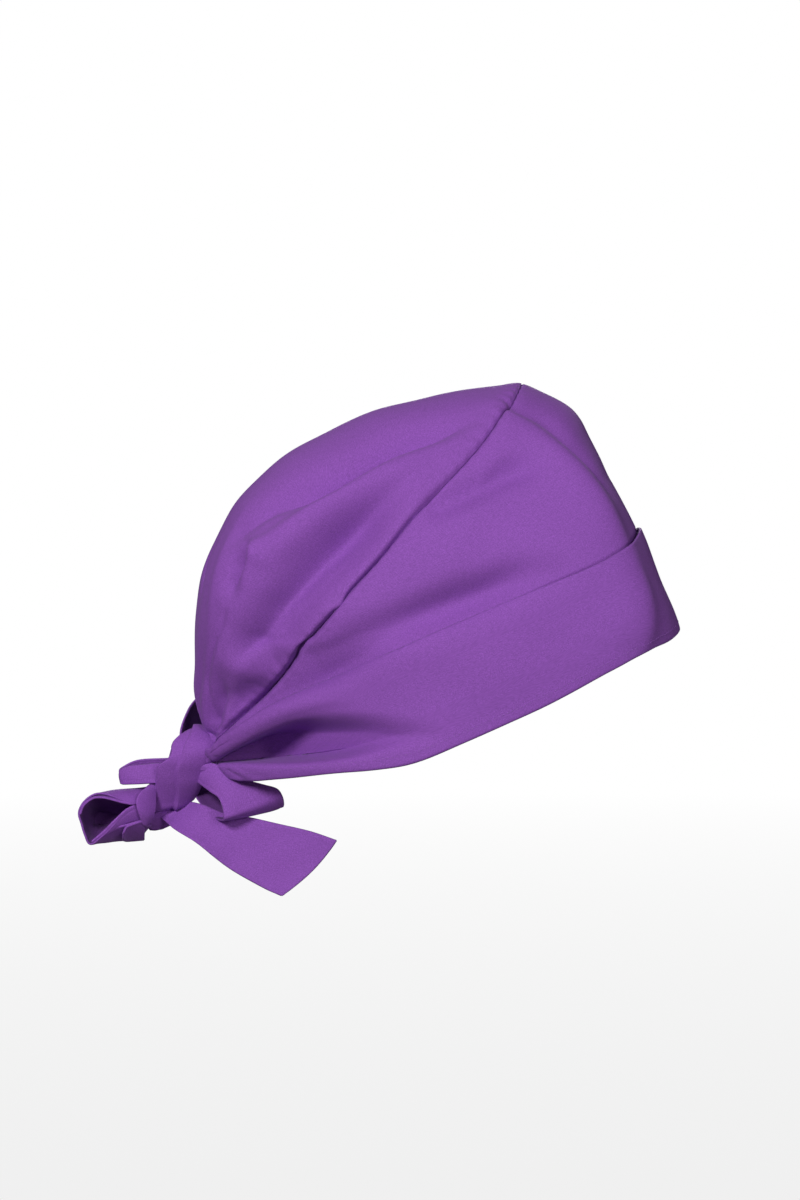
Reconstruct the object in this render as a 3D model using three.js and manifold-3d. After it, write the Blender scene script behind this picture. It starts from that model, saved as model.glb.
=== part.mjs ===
// A tie-back scrub cap in woven cotton, as it stands on a head.
// Millimetres, +X towards the forehead, +Z up, the wearer's right side towards -Y.
// The origin is the middle of the head opening.
//
// The cap is sewn from two panels: a side panel that runs round the head from knot to knot, and a
// crown panel over the top and back, gathered into a seam. The side panel's lower edge is turned up
// as a cuff. The two ends of the side panel run into ties, which are knotted in a bow at the nape.

import * as THREE from "three";
import Module from "manifold-3d";
import { mergeVertices } from "three/addons/utils/BufferGeometryUtils.js";

const wasm = await Module();
wasm.setup();

// Driving dimensions
const HEAD_CENTRE = { x: -10, z: 40 };
const HALF_WIDTH = 80;
const CLOTH = 1.2;
const CUFF_CLOTH = 1.5;
const TIE_CLOTH = 1.4;
const GAP = 0.4;
const ROOM = 0.3;
const SEAM_GAP = 0.5;
const CUFF_SHARE = 0.36;
const LIP = { front: 3, side: 0.8 };
const KNOT = { x: -121, z: -28 };
const BUNDLE_HALF = 9;
const BUNDLE_REACH = 15;
const CORE_LENGTH = 1.2;
const CAP_COLOUR = 0x8a57ad;
const FRONT_FADE = 0.32;

// Outline of the cap in the middle plane, seen from the side and measured from the head's centre.
// angle is in degrees above straight ahead; squareness and taper shape the half-width towards it.
const OUTLINE = [
  { angle: -90, reach: 200, squareness: 2.2, taper: 0.5 },
  { angle: -60, reach: 168, squareness: 2.3, taper: 0.5 },
  { angle: -30, reach: 142, squareness: 2.5, taper: 0.5 },
  { angle: -10, reach: 127, squareness: 2.7, taper: 0.5 },
  { angle: -2, reach: 122.7, squareness: 2.8, taper: 0.5 },
  { angle: 10, reach: 115.6, squareness: 2.8, taper: 0.5 },
  { angle: 24, reach: 111.6, squareness: 2.8, taper: 0.5 },
  { angle: 38, reach: 113.2, squareness: 2.7, taper: 0.5 },
  { angle: 44, reach: 117.2, squareness: 2.6, taper: 0.5 },
  { angle: 49, reach: 121.5, squareness: 2.5, taper: 0.5 },
  { angle: 53.5, reach: 126.2, squareness: 2.4, taper: 0.5 },
  { angle: 57, reach: 128, squareness: 2.3, taper: 0.5 },
  { angle: 63, reach: 127.4, squareness: 2.3, taper: 0.5 },
  { angle: 69, reach: 126.3, squareness: 2.2, taper: 0.5 },
  { angle: 74, reach: 121, squareness: 2.2, taper: 0.5 },
  { angle: 82, reach: 116.2, squareness: 2.2, taper: 0.5 },
  { angle: 93, reach: 110.1, squareness: 2.2, taper: 0.5 },
  { angle: 103, reach: 107.6, squareness: 2.1, taper: 0.5 },
  { angle: 118, reach: 106.6, squareness: 2.1, taper: 0.5 },
  { angle: 129, reach: 108.2, squareness: 2.1, taper: 0.5 },
  { angle: 140, reach: 109.4, squareness: 2.1, taper: 0.5 },
  { angle: 151, reach: 111.5, squareness: 2.1, taper: 0.5 },
  { angle: 168, reach: 113.6, squareness: 2.1, taper: 0.5 },
  { angle: 178, reach: 114.6, squareness: 2.0, taper: 0.5 },
  { angle: 190, reach: 118.5, squareness: 1.9, taper: 0.56 },
  { angle: 197, reach: 122.1, squareness: 1.9, taper: 0.62 },
  { angle: 209, reach: 125.3, squareness: 1.8, taper: 0.68 },
  { angle: 221, reach: 131, squareness: 1.9, taper: 0.66 },
  { angle: 237, reach: 146, squareness: 2.0, taper: 0.56 },
  { angle: 255, reach: 178, squareness: 2.1, taper: 0.5 },
  { angle: 270, reach: 200, squareness: 2.2, taper: 0.5 },
];

// The three sewn or folded lines of the right side, seen from the side, from the middle plane at
// the front (at startAngle on the outline) back to the knot.
const RIM_LINE = {
  startAngle: -1.7,
  points: [
    { x: 104.5, z: 31 },
    { x: 91, z: 26 },
    { x: 76, z: 18 },
    { x: 42, z: -0.5 },
    { x: 4, z: -17.5 },
    { x: -18, z: -26.5 },
    { x: -36, z: -29.3 },
    { x: -56, z: -31.5 },
    { x: -80, z: -34.5 },
    { x: -101, z: -37.5 },
    { x: -116, z: -38 },
    { x: -126, z: -39 },
  ],
};
const CUFF_LINE = {
  startAngle: 23.7,
  points: [
    { x: 87, z: 78 },
    { x: 71, z: 67.5 },
    { x: 36, z: 52.5 },
    { x: -14, z: 31 },
    { x: -54, z: 13 },
    { x: -80, z: 0.5 },
    { x: -94, z: -8 },
    { x: -107, z: -16.5 },
    { x: -118, z: -24.5 },
    { x: -126, z: -30 },
  ],
};
const SEAM_LINE = {
  startAngle: 68.9,
  points: [
    { x: 28, z: 144.5 },
    { x: 12, z: 123 },
    { x: -19, z: 91 },
    { x: -47, z: 58 },
    { x: -58, z: 45 },
    { x: -82, z: 14.5 },
    { x: -105, z: -6.5 },
    { x: -118, z: -21 },
    { x: -126, z: -27 },
  ],
};

// Folds of the cloth, seen from the right side. height is along the cloth's outward normal, and
// left and right are the widths of the slopes on the two sides, walking along the path.
// startShare and endShare say how much of the height is left at the two ends.
const SIDE_FOLDS = [
  {
    name: "cuff_pocket",
    height: -11.5,
    left: 11,
    right: 10,
    startShare: 0.45,
    endShare: 0,
    path: [
      { x: -112, z: -28.5 },
      { x: -93, z: -25 },
      { x: -76, z: -21 },
      { x: -52, z: -18 },
      { x: -20, z: -14 },
    ],
  },
  {
    name: "cuff_top_roll",
    height: 4.5,
    left: 6,
    right: 5,
    startShare: 0.3,
    endShare: 0,
    path: [
      { x: -113, z: -23 },
      { x: -97, z: -14.5 },
      { x: -82, z: -7 },
      { x: -62, z: 0 },
      { x: -40, z: 8 },
    ],
  },
  {
    name: "rim_roll",
    height: 2.6,
    left: 7,
    right: 7,
    startShare: 0.3,
    endShare: 0,
    path: [
      { x: -113, z: -32 },
      { x: -98, z: -34.5 },
      { x: -75, z: -33.5 },
      { x: -48, z: -31.5 },
      { x: -22, z: -28 },
    ],
  },
  {
    name: "side_hollow",
    height: -5,
    left: 10,
    right: 9,
    startShare: 0,
    endShare: 0.3,
    path: [
      { x: 46, z: 67 },
      { x: 12, z: 62 },
      { x: -14, z: 51 },
      { x: -42, z: 40 },
      { x: -66, z: 26 },
      { x: -92, z: -2 },
    ],
  },
  {
    name: "upper_hollow",
    height: -3,
    left: 8,
    right: 9,
    startShare: 0.2,
    endShare: 0,
    path: [
      { x: -4, z: 107 },
      { x: 18, z: 106 },
      { x: 40, z: 116 },
    ],
  },
  {
    name: "forehead_crease",
    height: -2.4,
    left: 4,
    right: 8,
    startShare: 0.5,
    endShare: 0,
    path: [
      { x: 28, z: 143 },
      { x: 40, z: 139 },
      { x: 56, z: 128 },
      { x: 70, z: 112 },
      { x: 80, z: 96 },
    ],
  },
  {
    name: "crown_hollow",
    height: -9,
    left: 10,
    right: 10,
    startShare: 0,
    endShare: 0.1,
    path: [
      { x: -30, z: 104 },
      { x: -50, z: 92 },
      { x: -64, z: 82 },
      { x: -82, z: 66 },
      { x: -93, z: 52 },
      { x: -101, z: 36 },
    ],
  },
  {
    name: "crown_ridge",
    height: 5,
    left: 8,
    right: 8,
    startShare: 0,
    endShare: 0.6,
    path: [
      { x: 12, z: 131 },
      { x: -14, z: 120 },
      { x: -38, z: 110 },
      { x: -62, z: 99 },
      { x: -80, z: 88 },
      { x: -91, z: 79 },
    ],
  },
  {
    name: "crown_crease",
    height: -3.5,
    left: 4,
    right: 9,
    startShare: 0.2,
    endShare: 0.2,
    path: [
      { x: 26, z: 145 },
      { x: 4, z: 135 },
      { x: -30, z: 118 },
      { x: -55, z: 109 },
      { x: -80, z: 98 },
      { x: -96, z: 88 },
    ],
  },
  {
    name: "back_dimple",
    height: -5,
    left: 4,
    right: 8,
    startShare: 0.2,
    endShare: 0,
    path: [
      { x: -100, z: 76 },
      { x: -104, z: 66 },
      { x: -108, z: 54 },
    ],
  },
  {
    name: "back_ridge",
    height: 3.2,
    left: 5,
    right: 5,
    startShare: 0,
    endShare: 0,
    path: [
      { x: -93, z: 104 },
      { x: -104, z: 91 },
      { x: -112, z: 76 },
      { x: -117, z: 55 },
      { x: -120, z: 34 },
      { x: -120, z: 16 },
    ],
  },
  {
    name: "pouch_ridge",
    height: 4.5,
    left: 7,
    right: 7,
    startShare: 0,
    endShare: 0.3,
    path: [
      { x: -58, z: 64 },
      { x: -74, z: 46 },
      { x: -90, z: 27 },
      { x: -101, z: 18 },
      { x: -108, z: 20 },
    ],
  },
  {
    name: "nape_hollow",
    height: -4,
    left: 7,
    right: 7,
    startShare: 0,
    endShare: 0.3,
    path: [
      { x: -98, z: 8 },
      { x: -108, z: -2 },
      { x: -115, z: -12 },
    ],
  },
];

// The far side has the same folds, a little lower, further forward and softer.
const FAR_SIDE = { shiftX: 5, shiftZ: -3, soften: 0.8 };

// How the crown panel rolls over the seam: share runs from the knot to the top of the cap, out is
// how far the roll stands proud, and over how far it hangs past the seam.
const SEAM_ROLL = [
  { share: 0, out: 1, over: 0.5 },
  { share: 0.12, out: 3, over: 2 },
  { share: 0.3, out: 4.5, over: 3.2 },
  { share: 0.5, out: 4, over: 2.8 },
  { share: 0.68, out: 3, over: 2 },
  { share: 0.85, out: 1.8, over: 0.8 },
  { share: 1, out: 0.2, over: 0.2 },
];
const ROLL_PEAK = 4;
const SEAM_DIP = 3;
const SEAM_DIP_WIDTH = 6;

// Gathers fan out of the knot over the back of the crown panel.
const GATHERS = { count: 7, height: 1.8, until: 0.42 };

// The knot: a band wound over a core. along is the direction from loop side to cap side.
const KNOT_FRAME = {
  centre: new THREE.Vector3(-134, 0, -35.5),
  along: new THREE.Vector3(0.93, 0, 0.36),
  up: new THREE.Vector3(0.25, 0, 0.97),
};
const WRAP = { halfLength: 10.5, halfHeight: 17.5, halfDepth: 13, bulge: 1.6 };
const TURN_FRAME = {
  centre: new THREE.Vector3(-149.5, 0, -52.5),
  along: new THREE.Vector3(0.9, 0, 0.42),
  up: new THREE.Vector3(0.18, 0, 0.98),
};
const TURN = { halfLength: 3.6, halfHeight: 10, halfDepth: 9.5, bulge: 1 };

// Ribbons of the bow: each row is one station along the tie, with the places of its two edges.
const RIBBONS = {
  bow_loop_left: [
    { x1: -146, y1: -6, z1: -49, x2: -145, y2: 5, z2: -47 },
    { x1: -160, y1: -10, z1: -48.5, x2: -161, y2: 9, z2: -44.5 },
    { x1: -173, y1: -13, z1: -46.5, x2: -170, y2: 11, z2: -45 },
    { x1: -181, y1: -14, z1: -49.5, x2: -174, y2: 13, z2: -48 },
    { x1: -185, y1: -14, z1: -56, x2: -176, y2: 15, z2: -54 },
    { x1: -183, y1: -14, z1: -64, x2: -174, y2: 15, z2: -63 },
    { x1: -178.5, y1: -13, z1: -71, x2: -168, y2: 13, z2: -70.5 },
    { x1: -171, y1: -13, z1: -65, x2: -162, y2: 10, z2: -70.5 },
    { x1: -164, y1: -12, z1: -58, x2: -157, y2: 7, z2: -69 },
    { x1: -156, y1: -9, z1: -52, x2: -152.5, y2: 4, z2: -62 },
    { x1: -147, y1: -6, z1: -52, x2: -147, y2: 3, z2: -58 },
  ],
  bow_loop_right: [
    { x1: -127, y1: -6, z1: -40, x2: -124, y2: -6, z2: -31 },
    { x1: -119, y1: -12, z1: -46.5, x2: -111.5, y2: -11, z2: -37 },
    { x1: -114.5, y1: -15, z1: -51.5, x2: -99, y2: -14, z2: -41.5 },
    { x1: -112.5, y1: -16, z1: -57, x2: -89, y2: -15, z2: -45 },
    { x1: -112, y1: -13.5, z1: -60.5, x2: -83, y2: -12, z2: -49 },
    { x1: -113, y1: -10, z1: -60, x2: -83.5, y2: -8, z2: -53.5 },
    { x1: -118, y1: -7, z1: -55, x2: -92, y2: -5, z2: -49.5 },
    { x1: -123.5, y1: -5, z1: -48, x2: -107, y2: -4, z2: -42.5 },
    { x1: -128, y1: -4, z1: -43, x2: -122, y2: -3, z2: -36 },
  ],
  tie_tail_long: [
    { x1: -137, y1: -3, z1: -50, x2: -145, y2: -3, z2: -52 },
    { x1: -128, y1: -6, z1: -51.5, x2: -139.5, y2: -6, z2: -62.5 },
    { x1: -117.5, y1: -5, z1: -54, x2: -130, y2: -8, z2: -69 },
    { x1: -105, y1: -3, z1: -57.5, x2: -119, y2: -7, z2: -76.5 },
    { x1: -90, y1: -5, z1: -61.5, x2: -105, y2: -6, z2: -86 },
    { x1: -75, y1: -9, z1: -65, x2: -94, y2: -9, z2: -92.5 },
    { x1: -57.5, y1: -11, z1: -70.5, x2: -83, y2: -13, z2: -98 },
  ],
  tie_tail_upper: [
    { x1: -140, y1: -2, z1: -31, x2: -140, y2: -4, z2: -40.5 },
    { x1: -150, y1: -4, z1: -31, x2: -150, y2: -6, z2: -41 },
    { x1: -160, y1: -5, z1: -32, x2: -159, y2: -6, z2: -42 },
    { x1: -165.5, y1: -2, z1: -34.5, x2: -164.5, y2: -3, z2: -42 },
    { x1: -163, y1: 2, z1: -33, x2: -162, y2: 1.5, z2: -41 },
    { x1: -154, y1: 4, z1: -30.5, x2: -154, y2: 3, z2: -39 },
    { x1: -142, y1: 3, z1: -29.5, x2: -142, y2: 2, z2: -38 },
  ],
  tie_tail_lower: [
    { x1: -141, y1: 6, z1: -49, x2: -135, y2: 5, z2: -55 },
    { x1: -145, y1: 9, z1: -54, x2: -136, y2: 8, z2: -60 },
    { x1: -149, y1: 12, z1: -59, x2: -138, y2: 11, z2: -63.5 },
    { x1: -153, y1: 14, z1: -63, x2: -141, y2: 14, z2: -66 },
  ],
  tie_strap_left: [
    { x1: -133, y1: 3, z1: -25, x2: -128, y2: 10, z2: -34 },
    { x1: -135.5, y1: 9, z1: -17, x2: -127, y2: 15, z2: -27 },
    { x1: -132.5, y1: 15, z1: -8, x2: -122, y2: 22, z2: -19 },
    { x1: -127.5, y1: 21, z1: 0, x2: -116, y2: 29, z2: -12 },
    { x1: -119, y1: 28, z1: 7, x2: -107, y2: 38, z2: -5 },
  ],
};

// Small helpers

// A smooth function through rows of a table: value(row[key]) against row[by].
function smooth(rows, by, key) {
  const slope = rows.map((row, i) => {
    const before = rows[Math.max(i - 1, 0)];
    const after = rows[Math.min(i + 1, rows.length - 1)];
    return (after[key] - before[key]) / (after[by] - before[by]);
  });
  return (at) => {
    let i = 0;
    while (i < rows.length - 2 && at > rows[i + 1][by]) i++;
    const span = rows[i + 1][by] - rows[i][by];
    const t = THREE.MathUtils.clamp((at - rows[i][by]) / span, 0, 1);
    const t2 = t * t;
    const t3 = t2 * t;
    return (
      rows[i][key] * (2 * t3 - 3 * t2 + 1) +
      slope[i] * span * (t3 - 2 * t2 + t) +
      rows[i + 1][key] * (3 * t2 - 2 * t3) +
      slope[i + 1] * span * (t3 - t2)
    );
  };
}

const reachAt = smooth(OUTLINE, "angle", "reach");
const squarenessAt = smooth(OUTLINE, "angle", "squareness");
const taperAt = smooth(OUTLINE, "angle", "taper");

function polar(x, z) {
  const angle = THREE.MathUtils.radToDeg(
    Math.atan2(z - HEAD_CENTRE.z, x - HEAD_CENTRE.x),
  );
  return {
    angle: angle < -90 ? angle + 360 : angle,
    distance: Math.hypot(x - HEAD_CENTRE.x, z - HEAD_CENTRE.z),
  };
}

function outlinePoint(angle) {
  const a = THREE.MathUtils.degToRad(angle);
  return {
    x: HEAD_CENTRE.x + reachAt(angle) * Math.cos(a),
    z: HEAD_CENTRE.z + reachAt(angle) * Math.sin(a),
  };
}

// Half-width of the smooth head form at a place of the side view.
function halfWidth(x, z) {
  const { angle, distance } = polar(x, z);
  const share = distance / reachAt(angle);
  const left = 1 - Math.pow(share, squarenessAt(angle));
  return left > 0 ? HALF_WIDTH * Math.pow(left, taperAt(angle)) : 0;
}

// Outward normal of the head form, from the gradient of (y/w)^(1/taper) + share^squareness.
function formNormal(x, y, z) {
  const level = (px, pz) => {
    const { angle, distance } = polar(px, pz);
    return (
      Math.pow(Math.abs(y) / HALF_WIDTH, 1 / taperAt(angle)) +
      Math.pow(distance / reachAt(angle), squarenessAt(angle))
    );
  };
  const step = 0.5;
  const power = 1 / taperAt(polar(x, z).angle);
  const across =
    ((power / HALF_WIDTH) * Math.pow(Math.abs(y) / HALF_WIDTH, power - 1)) *
    Math.sign(y);
  return new THREE.Vector3(
    (level(x + step, z) - level(x - step, z)) / (2 * step),
    across,
    (level(x, z + step) - level(x, z - step)) / (2 * step),
  ).normalize();
}

// Extra half-width near the knot, where the cloth is bunched.
function bundle(x, z) {
  const away = Math.hypot(x - KNOT.x, z - KNOT.z) / BUNDLE_REACH;
  return BUNDLE_HALF * Math.exp(-away * away);
}

// A line of the side view as a function of the share of its real length, front to knot.
function sideString({ startAngle, points }) {
  const rows = [outlinePoint(startAngle), ...points].map((p, i) => ({
    at: i,
    ...p,
  }));
  const xAt = smooth(rows, "at", "x");
  const zAt = smooth(rows, "at", "z");
  const samples = 300;
  const line = [];
  for (let i = 0; i <= samples; i++) {
    const at = Math.pow(i / samples, 1.6) * (rows.length - 1);
    const x = xAt(at);
    const z = zAt(at);
    const y = i ? halfWidth(x, z) : 0;
    const before = line[i - 1];
    const length = i
      ? before.length + Math.hypot(x - before.x, y - before.y, z - before.z)
      : 0;
    line.push({ x, y, z, length });
  }
  const total = line[samples].length;
  return (share) => {
    const want = THREE.MathUtils.clamp(share, 0, 1) * total;
    let i = 1;
    while (i < samples && line[i].length < want) i++;
    const t = (want - line[i - 1].length) / (line[i].length - line[i - 1].length);
    return {
      x: THREE.MathUtils.lerp(line[i - 1].x, line[i].x, t),
      z: THREE.MathUtils.lerp(line[i - 1].z, line[i].z, t),
    };
  };
}

const rimString = sideString(RIM_LINE);
const cuffString = sideString(CUFF_LINE);
const seamString = sideString(SEAM_LINE);

// Folds on the cloth

function onForm(x, z, side) {
  return new THREE.Vector3(x, side * (halfWidth(x, z) + bundle(x, z)), z);
}

function foldLine(fold, side) {
  const near = side < 0;
  const rows = fold.path.map((p, i) => ({
    at: i,
    x: p.x + (near ? 0 : FAR_SIDE.shiftX),
    z: p.z + (near ? 0 : FAR_SIDE.shiftZ),
  }));
  const xAt = smooth(rows, "at", "x");
  const zAt = smooth(rows, "at", "z");
  const steps = 4 * (rows.length - 1);
  const points = [];
  for (let i = 0; i <= steps; i++) {
    const at = (i / steps) * (rows.length - 1);
    points.push(onForm(xAt(at), zAt(at), side));
  }
  return {
    ...fold,
    side,
    height: fold.height * (near ? 1 : FAR_SIDE.soften),
    points,
  };
}

const FOLD_LINES = SIDE_FOLDS.flatMap((fold) => [
  foldLine(fold, -1),
  foldLine(fold, 1),
]);

function foldHeight(place, normal) {
  const segment = new THREE.Vector3();
  const offset = new THREE.Vector3();
  const foot = new THREE.Vector3();
  let height = 0;
  for (const fold of FOLD_LINES) {
    const count = fold.points.length - 1;
    let best = Infinity;
    let along = 0;
    let signed = 0;
    for (let i = 0; i < count; i++) {
      segment.subVectors(fold.points[i + 1], fold.points[i]);
      offset.subVectors(place, fold.points[i]);
      const t = THREE.MathUtils.clamp(
        offset.dot(segment) / segment.lengthSq(),
        0,
        1,
      );
      foot.copy(fold.points[i]).addScaledVector(segment, t);
      const away = foot.distanceTo(place);
      if (away < best) {
        best = away;
        along = (i + t) / count;
        signed = fold.side * offset.cross(segment).dot(normal);
      }
    }
    const width = signed > 0 ? fold.left : fold.right;
    if (best > 3 * width) continue;
    const ends =
      along < 0.5
        ? THREE.MathUtils.lerp(
            fold.startShare,
            1,
            THREE.MathUtils.smoothstep(along, 0, 0.4),
          )
        : THREE.MathUtils.lerp(
            1,
            fold.endShare,
            THREE.MathUtils.smoothstep(along, 0.6, 1),
          );
    height += fold.height * ends * Math.exp(-((best / width) ** 2));
  }
  return height;
}

// The side panel's outer face: round runs from -1 at the right end through 0 at the forehead to 1
// at the left end, and up from 0 at the rim to 1 at the seam.
function sidePanelPoint(round, up) {
  const side = round < 0 ? -1 : 1;
  const share = Math.abs(round);
  const stretch = (s) => {
    const low = up < CUFF_SHARE ? rimString(s) : cuffString(s);
    const high = up < CUFF_SHARE ? cuffString(s) : seamString(s);
    const t = up < CUFF_SHARE ? up / CUFF_SHARE : (up - CUFF_SHARE) / (1 - CUFF_SHARE);
    return {
      x: THREE.MathUtils.lerp(low.x, high.x, t),
      z: THREE.MathUtils.lerp(low.z, high.z, t),
    };
  };
  const frontAngle =
    up < CUFF_SHARE
      ? THREE.MathUtils.mapLinear(up, 0, CUFF_SHARE, RIM_LINE.startAngle, CUFF_LINE.startAngle)
      : THREE.MathUtils.mapLinear(up, CUFF_SHARE, 1, CUFF_LINE.startAngle, SEAM_LINE.startAngle);
  const onOutline = outlinePoint(frontAngle);
  const front = stretch(0);
  const here = stretch(share);
  const fade = share < FRONT_FADE ? (1 - (share / FRONT_FADE) ** 2) ** 2 : 0;
  const x = here.x + (onOutline.x - front.x) * fade;
  const z = here.z + (onOutline.z - front.z) * fade;
  const y = share ? side * (halfWidth(x, z) + bundle(x, z)) : 0;
  const place = new THREE.Vector3(x, y, z);
  const normal = formNormal(x, y, z);
  const seam = seamString(share);
  const fromSeam = place.distanceTo(onForm(seam.x, seam.z, side));
  const seamFade = THREE.MathUtils.smoothstep(share, 0.02, 0.2);
  const dip = SEAM_DIP * seamFade * Math.exp(-((fromSeam / SEAM_DIP_WIDTH) ** 2));
  return place.addScaledVector(normal, foldHeight(place, normal) - dip);
}

const rollOutAt = smooth(SEAM_ROLL, "share", "out");
const rollOverAt = smooth(SEAM_ROLL, "share", "over");

// The crown panel's outer face: along runs from the knot to the top, and across from -1 at the
// right seam through 0 on the middle line to 1 at the left seam.
const CROWN_BACK_ANGLE = 209;
function crownPoint(along, across) {
  const side = across < 0 ? -1 : 1;
  const share = Math.abs(across);
  const back = outlinePoint(
    THREE.MathUtils.lerp(CROWN_BACK_ANGLE, SEAM_LINE.startAngle, along),
  );
  const seam = seamString(1 - along);
  const t = 1 - Math.cos((share * Math.PI) / 2);
  const x = THREE.MathUtils.lerp(back.x, seam.x, t);
  const z = THREE.MathUtils.lerp(back.z, seam.z, t);
  const y =
    side * (share ? halfWidth(x, z) + bundle(x, z) * Math.sin((share * Math.PI) / 2) : 0);
  const place = new THREE.Vector3(x, y, z);
  const normal = formNormal(x, y, z);
  const seamPlace = onForm(seam.x, seam.z, side);
  const away = place.clone().sub(seamPlace);
  const fromSeam = away.length();
  const ribLength = seamPlace.distanceTo(new THREE.Vector3(back.x, 0, back.z));
  const roll =
    rollOutAt(along) *
    (fromSeam / ROLL_PEAK) *
    Math.exp(1 - fromSeam / ROLL_PEAK) *
    Math.min(1, ribLength / 40);
  const edge = (SEAM_DIP - 1) * Math.exp(-((fromSeam / 2) ** 2)) * Math.min(1, ribLength / 40);
  const gatherFade = 1 - THREE.MathUtils.smoothstep(along, 0.05, GATHERS.until);
  const gathers =
    GATHERS.height *
    gatherFade *
    Math.min(1, ribLength / 30) *
    Math.cos(across * Math.PI * GATHERS.count) *
    (1 - share ** 4);
  const over = rollOverAt(along) * (fromSeam / 2) * Math.exp(1 - fromSeam / 2);
  const clear = SEAM_GAP * Math.exp(-fromSeam);
  if (fromSeam > 1e-6) away.normalize();
  return place
    .addScaledVector(away, clear - over * Math.min(1, ribLength / 40))
    .addScaledVector(normal, foldHeight(place, normal) + roll - edge + gathers);
}

// Building solids from grids of points

// A wall between two grids of points. outer[i][j] and inner[i][j] are THREE.Vector3, the outer face
// looks along the cross product of the steps along i and j, and a closed wall runs round along i.
function wallGeometry(outer, inner, closed = false) {
  const n = outer.length;
  const m = outer[0].length;
  const positions = [...outer.flat(), ...inner.flat()].flatMap((p) => [p.x, p.y, p.z]);
  const base = n * m;
  const index = [];
  const quad = (a, b, c, d) => index.push(a, b, c, a, c, d);
  const id = (i, j) => (i % n) * m + j;
  const lengths = closed ? n : n - 1;
  for (let i = 0; i < lengths; i++) {
    for (let j = 0; j < m - 1; j++) {
      quad(id(i, j), id(i + 1, j), id(i + 1, j + 1), id(i, j + 1));
      quad(
        base + id(i, j),
        base + id(i, j + 1),
        base + id(i + 1, j + 1),
        base + id(i + 1, j),
      );
    }
    quad(id(i, 0), base + id(i, 0), base + id(i + 1, 0), id(i + 1, 0));
    quad(id(i, m - 1), id(i + 1, m - 1), base + id(i + 1, m - 1), base + id(i, m - 1));
  }
  if (!closed)
    for (let j = 0; j < m - 1; j++) {
      quad(id(0, j), id(0, j + 1), base + id(0, j + 1), base + id(0, j));
      quad(id(n - 1, j), base + id(n - 1, j), base + id(n - 1, j + 1), id(n - 1, j + 1));
    }
  const geometry = new THREE.BufferGeometry();
  geometry.setAttribute("position", new THREE.Float32BufferAttribute(positions, 3));
  geometry.setIndex(index);
  return geometry;
}

// The normals of a grid, along the cross product of its steps along i and j.
function gridNormals(rows, closed = false) {
  const n = rows.length;
  const m = rows[0].length;
  const at = (i, j) =>
    rows[closed ? (i + n) % n : THREE.MathUtils.clamp(i, 0, n - 1)][
      THREE.MathUtils.clamp(j, 0, m - 1)
    ];
  return rows.map((row, i) =>
    row.map((_, j) =>
      at(i + 1, j)
        .clone()
        .sub(at(i - 1, j))
        .cross(at(i, j + 1).clone().sub(at(i, j - 1)))
        .normalize(),
    ),
  );
}

function offsetRows(rows, normals, distance) {
  return rows.map((row, i) =>
    row.map((p, j) => p.clone().addScaledVector(normals[i][j], distance)),
  );
}

// A sheet of cloth whose outer face is the grid moved out by grow, with grow more on the back too.
function clothGeometry(rows, thickness, { grow = 0, closed = false } = {}) {
  const normals = gridNormals(rows, closed);
  return wallGeometry(
    offsetRows(rows, normals, grow),
    offsetRows(rows, normals, -thickness - grow),
    closed,
  );
}

function grid(listI, listJ, point) {
  return listI.map((i) => listJ.map((j) => point(i, j)));
}

function steps(count, shape = (t) => t) {
  return Array.from({ length: count + 1 }, (_, i) => shape(i / count));
}

// Shares from -1 to 1 that crowd towards both ends, so that rolls and pleats there keep their shape.
function crowded(share, strength) {
  const s = 2 * share - 1;
  return s * (1 - strength) + strength * Math.sin((s * Math.PI) / 2);
}

function toSolid(geometry) {
  const merged = mergeVertices(geometry, 1e-4);
  return new wasm.Manifold(
    new wasm.Mesh({
      numProp: 3,
      vertProperties: new Float32Array(merged.attributes.position.array),
      triVerts: new Uint32Array(merged.index.array),
    }),
  );
}

// The largest part of a solid, as a geometry.
function fromSolid(solid) {
  const largest = solid.decompose().reduce((a, b) => (a.volume() > b.volume() ? a : b));
  const mesh = largest.getMesh();
  const geometry = new THREE.BufferGeometry();
  geometry.setAttribute(
    "position",
    new THREE.BufferAttribute(new Float32Array(mesh.vertProperties), 3),
  );
  geometry.setIndex(new THREE.BufferAttribute(new Uint32Array(mesh.triVerts), 1));
  return geometry;
}

// Panels

const ROUNDS = steps(50, (t) => crowded(t, 0.35));
const CUFF_UPS = [0, 0.05, 0.11, 0.17, 0.23, 0.3, CUFF_SHARE];
const PANEL_UPS = [...CUFF_UPS, 0.46, 0.58, 0.7, 0.82, 0.93, 1];
const panelRows = grid(ROUNDS, PANEL_UPS, sidePanelPoint);
const panelNormals = gridNormals(panelRows);

function sidePanelGeometry() {
  return wallGeometry(panelRows, offsetRows(panelRows, panelNormals, -CLOTH));
}

// The room the side panel takes up, with a clearance all round and past the seam.
function sidePanelRoom() {
  const top = PANEL_UPS.length - 1;
  const outer = offsetRows(panelRows, panelNormals, ROOM);
  const inner = offsetRows(panelRows, panelNormals, -CLOTH - ROOM);
  for (const rows of [outer, inner])
    rows.forEach((row, i) => {
      const up = panelRows[i][top].clone().sub(panelRows[i][top - 1]).normalize();
      row[top].addScaledVector(up, ROOM);
    });
  return wallGeometry(outer, inner);
}

function crownGeometry(grow = 0) {
  const rows = grid(
    steps(24, (t) => crowded(t, 0.75)),
    steps(26, (t) => 0.005 + 0.993 * t),
    (across, along) => crownPoint(along, across),
  );
  return clothGeometry(rows, CLOTH, { grow });
}

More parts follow.
